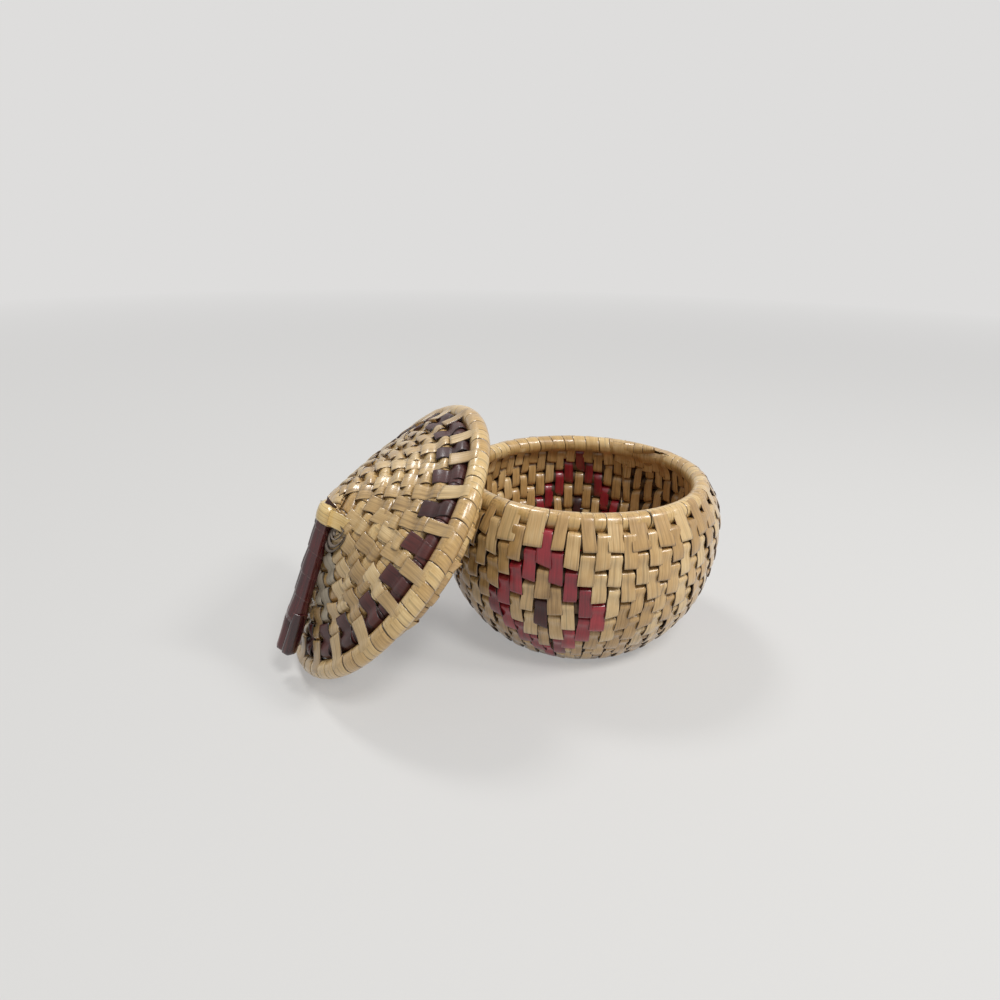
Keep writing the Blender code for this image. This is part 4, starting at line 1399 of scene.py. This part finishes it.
    def build_brown_end(self, place: Matrix) -> None:
        """Builds the narrow dark end of leaf beside the lashing.

        Args:
            place: the handle's frame.
        """
        end = Sheets("handle_root_brown_end", BROWN_LEAF)
        across, steps = np.array(self.across), np.linspace(0, 1, 8)[:, None]
        narrow = 1.9 * (1 - 0.75 * steps)
        x = -3.6 + 1.6 * steps + across * narrow
        y = 0.6 + 3.4 * steps - 0.6 * across
        z = 1.7 - 3.4 * steps**1.4 + 0.5 * np.abs(across)
        # Painted shade: the hemmed edges take the dark edge colour
        strip = stacked(0.4, (np.abs(across) >= 1) * 0.95, steps)
        end.add(stacked(x, y, z) * MM, stacked(across * 1.3, steps * 6), strip)
        finished(end.build(place), "lid", "dark_brown_splint")


def seen_rays(tree: bpy.types.NodeTree) -> bpy.types.NodeSocket:
    """Gives 1 for the rays that show a background: the camera's, reflections and see-through ones.

    Args:
        tree: the tree that gets the nodes.

    Returns:
        The socket that says so.
    """
    rays = add_node(tree, "LightPath").outputs
    links = {0: rays["Is Camera Ray"], 1: rays["Is Glossy Ray"]}
    seen = add_node(tree, "Math", links=links, operation="MAXIMUM")
    links = {0: seen.outputs[0], 1: rays["Is Transmission Ray"]}
    return add_node(tree, "Math", links=links, operation="MAXIMUM").outputs[0]


@dataclass(frozen=True)
class Lamp:
    """A soft square lamp that faces the basket."""

    name: str
    place: tuple[float, float, float]
    size: float
    power: float
    target: tuple[float, float, float] = (0, 0, 40 * MM)

    def build(self) -> None:
        """Hangs the lamp."""
        lamp = bpy.data.lights.new(self.name, "AREA")
        lamp.size, lamp.energy = self.size, self.power
        made = bpy.data.objects.new(self.name, lamp)
        made.location = self.place
        made.rotation_euler = (Vector(self.target) - Vector(self.place)).to_track_quat("-Z", "Y").to_euler()
        bpy.context.scene.collection.objects.link(made)


@dataclass
class Studio:
    """A pale floor, a pale backdrop, soft lamps, and the camera at the photograph's angle."""

    camera_place: tuple[float, float, float] = (-35.5 * MM, -309.7 * MM, 178.7 * MM)
    pitch: float = math.radians(21.40)
    roll: float = math.radians(1.10)
    lens: float = 26.90
    sensor_width: float = 36
    clip: tuple[float, float] = (0.01, 20)
    floor_colour: str = "D6D5D2"
    floor_roughness: float = 0.85
    floor_half: float = 6.0
    backdrop_colour: str = "DEDDDC"
    # The backdrop's share of the floor near the basket, and the distances between which it grows to all
    backdrop_share: float = 0.45
    backdrop_fade: tuple[float, float] = (0.3, 1.5)
    room_colour: str = "F4F4F6"
    room_light: float = 0.24
    lamps: tuple[Lamp, ...] = (
        Lamp("lamp_front", (0.34, -0.66, 1.2), 0.34, 8.9),
        Lamp("lamp_behind", (-0.42, 0.5, 1.2), 0.28, 5.5),
        Lamp("lamp_right", (0.9, -0.3, 1.0), 0.28, 6.6),
    )

    def build(self) -> None:
        """Builds the floor, the lamps, the world and the camera."""
        self.build_floor()
        for lamp in self.lamps:
            lamp.build()
        self.build_room()
        self.build_camera()
        bpy.context.scene.view_settings.view_transform = "Standard"

    def build_floor(self) -> None:
        """Builds a flat floor that fades into the pale backdrop away from the basket."""
        half = self.floor_half
        mesh = bpy.data.meshes.new("floor_sheet")
        corners = [(-half, -half, 0), (half, -half, 0), (half, half, 0), (-half, half, 0)]
        mesh.from_pydata(corners, [], [(0, 1, 2, 3)])
        floor = bpy.data.objects.new("floor_sheet", mesh)
        bpy.context.scene.collection.objects.link(floor)
        made = bpy.data.materials.new("matt_white_board")
        made.use_nodes = True
        tree = made.node_tree
        shader = tree.nodes["Principled BSDF"]
        shader.inputs["Base Color"].default_value = linear(self.floor_colour)
        shader.inputs["Roughness"].default_value = self.floor_roughness
        # What the camera and reflections see is part pale backdrop, and far from the basket all of it
        place = add_node(tree, "NewGeometry")
        far = add_node(tree, "VectorMath", links={0: place.outputs["Position"]}, operation="LENGTH")
        near, end = self.backdrop_fade
        values = {"From Min": near, "From Max": end, "To Min": self.backdrop_share}
        share = add_node(tree, "MapRange", values, {0: far.outputs["Value"]})
        part = add_node(tree, "Math", links={0: share.outputs[0], 1: seen_rays(tree)}, operation="MULTIPLY")
        pale = add_node(tree, "Emission", {"Color": linear(self.backdrop_colour), "Strength": 1.0})
        both = add_node(tree, "MixShader", links={0: part.outputs[0], 1: shader.outputs[0], 2: pale.outputs[0]})
        tree.links.new(both.outputs[0], tree.nodes["Material Output"].inputs["Surface"])
        mesh.materials.append(made)

    def build_room(self) -> None:
        """Lights the room softly from all sides, and shows the backdrop in its place."""
        world = bpy.data.worlds.new("pale_room")
        world.use_nodes = True
        tree = world.node_tree
        room = tree.nodes["Background"]
        room.inputs["Color"].default_value = linear(self.room_colour)
        room.inputs["Strength"].default_value = self.room_light
        pale = add_node(tree, "Background", {"Color": linear(self.backdrop_colour), "Strength": 1.0})
        both = add_node(tree, "MixShader", links={0: seen_rays(tree), 1: room.outputs[0], 2: pale.outputs[0]})
        tree.links.new(both.outputs[0], tree.nodes["World Output"].inputs["Surface"])
        bpy.context.scene.world = world

    def build_camera(self) -> None:
        """Places the camera."""
        data = bpy.data.cameras.new("photo_camera")
        data.lens, data.sensor_width = self.lens, self.sensor_width
        data.clip_start, data.clip_end = self.clip
        camera = bpy.data.objects.new("photo_camera", data)
        forward = Vector((0, math.cos(self.pitch), -math.sin(self.pitch)))
        up = Vector((0, math.sin(self.pitch), math.cos(self.pitch)))
        right = Vector((1, 0, 0))
        rolled = math.cos(self.roll) * right + math.sin(self.roll) * up
        upright = -math.sin(self.roll) * right + math.cos(self.roll) * up
        turn = Matrix((rolled, upright, -forward)).transposed().to_4x4()
        camera.matrix_world = Matrix.Translation(self.camera_place) @ turn
        bpy.context.scene.collection.objects.link(camera)
        bpy.context.scene.camera = camera


def main() -> None:
    """Builds the basket."""
    logging.basicConfig(level=logging.INFO, format="%(message)s")
    Studio().build()
    Bowl().build()
    lid = Lid()
    lid.build()
    swing = next(joint for joint in frame["joints"] if joint["name"] == "handle_swing")
    Handle(Vector(swing["pos_m"]), lid.handle_way(), -Vector(swing["axis"])).build()


if __name__ == "__main__":
    main()
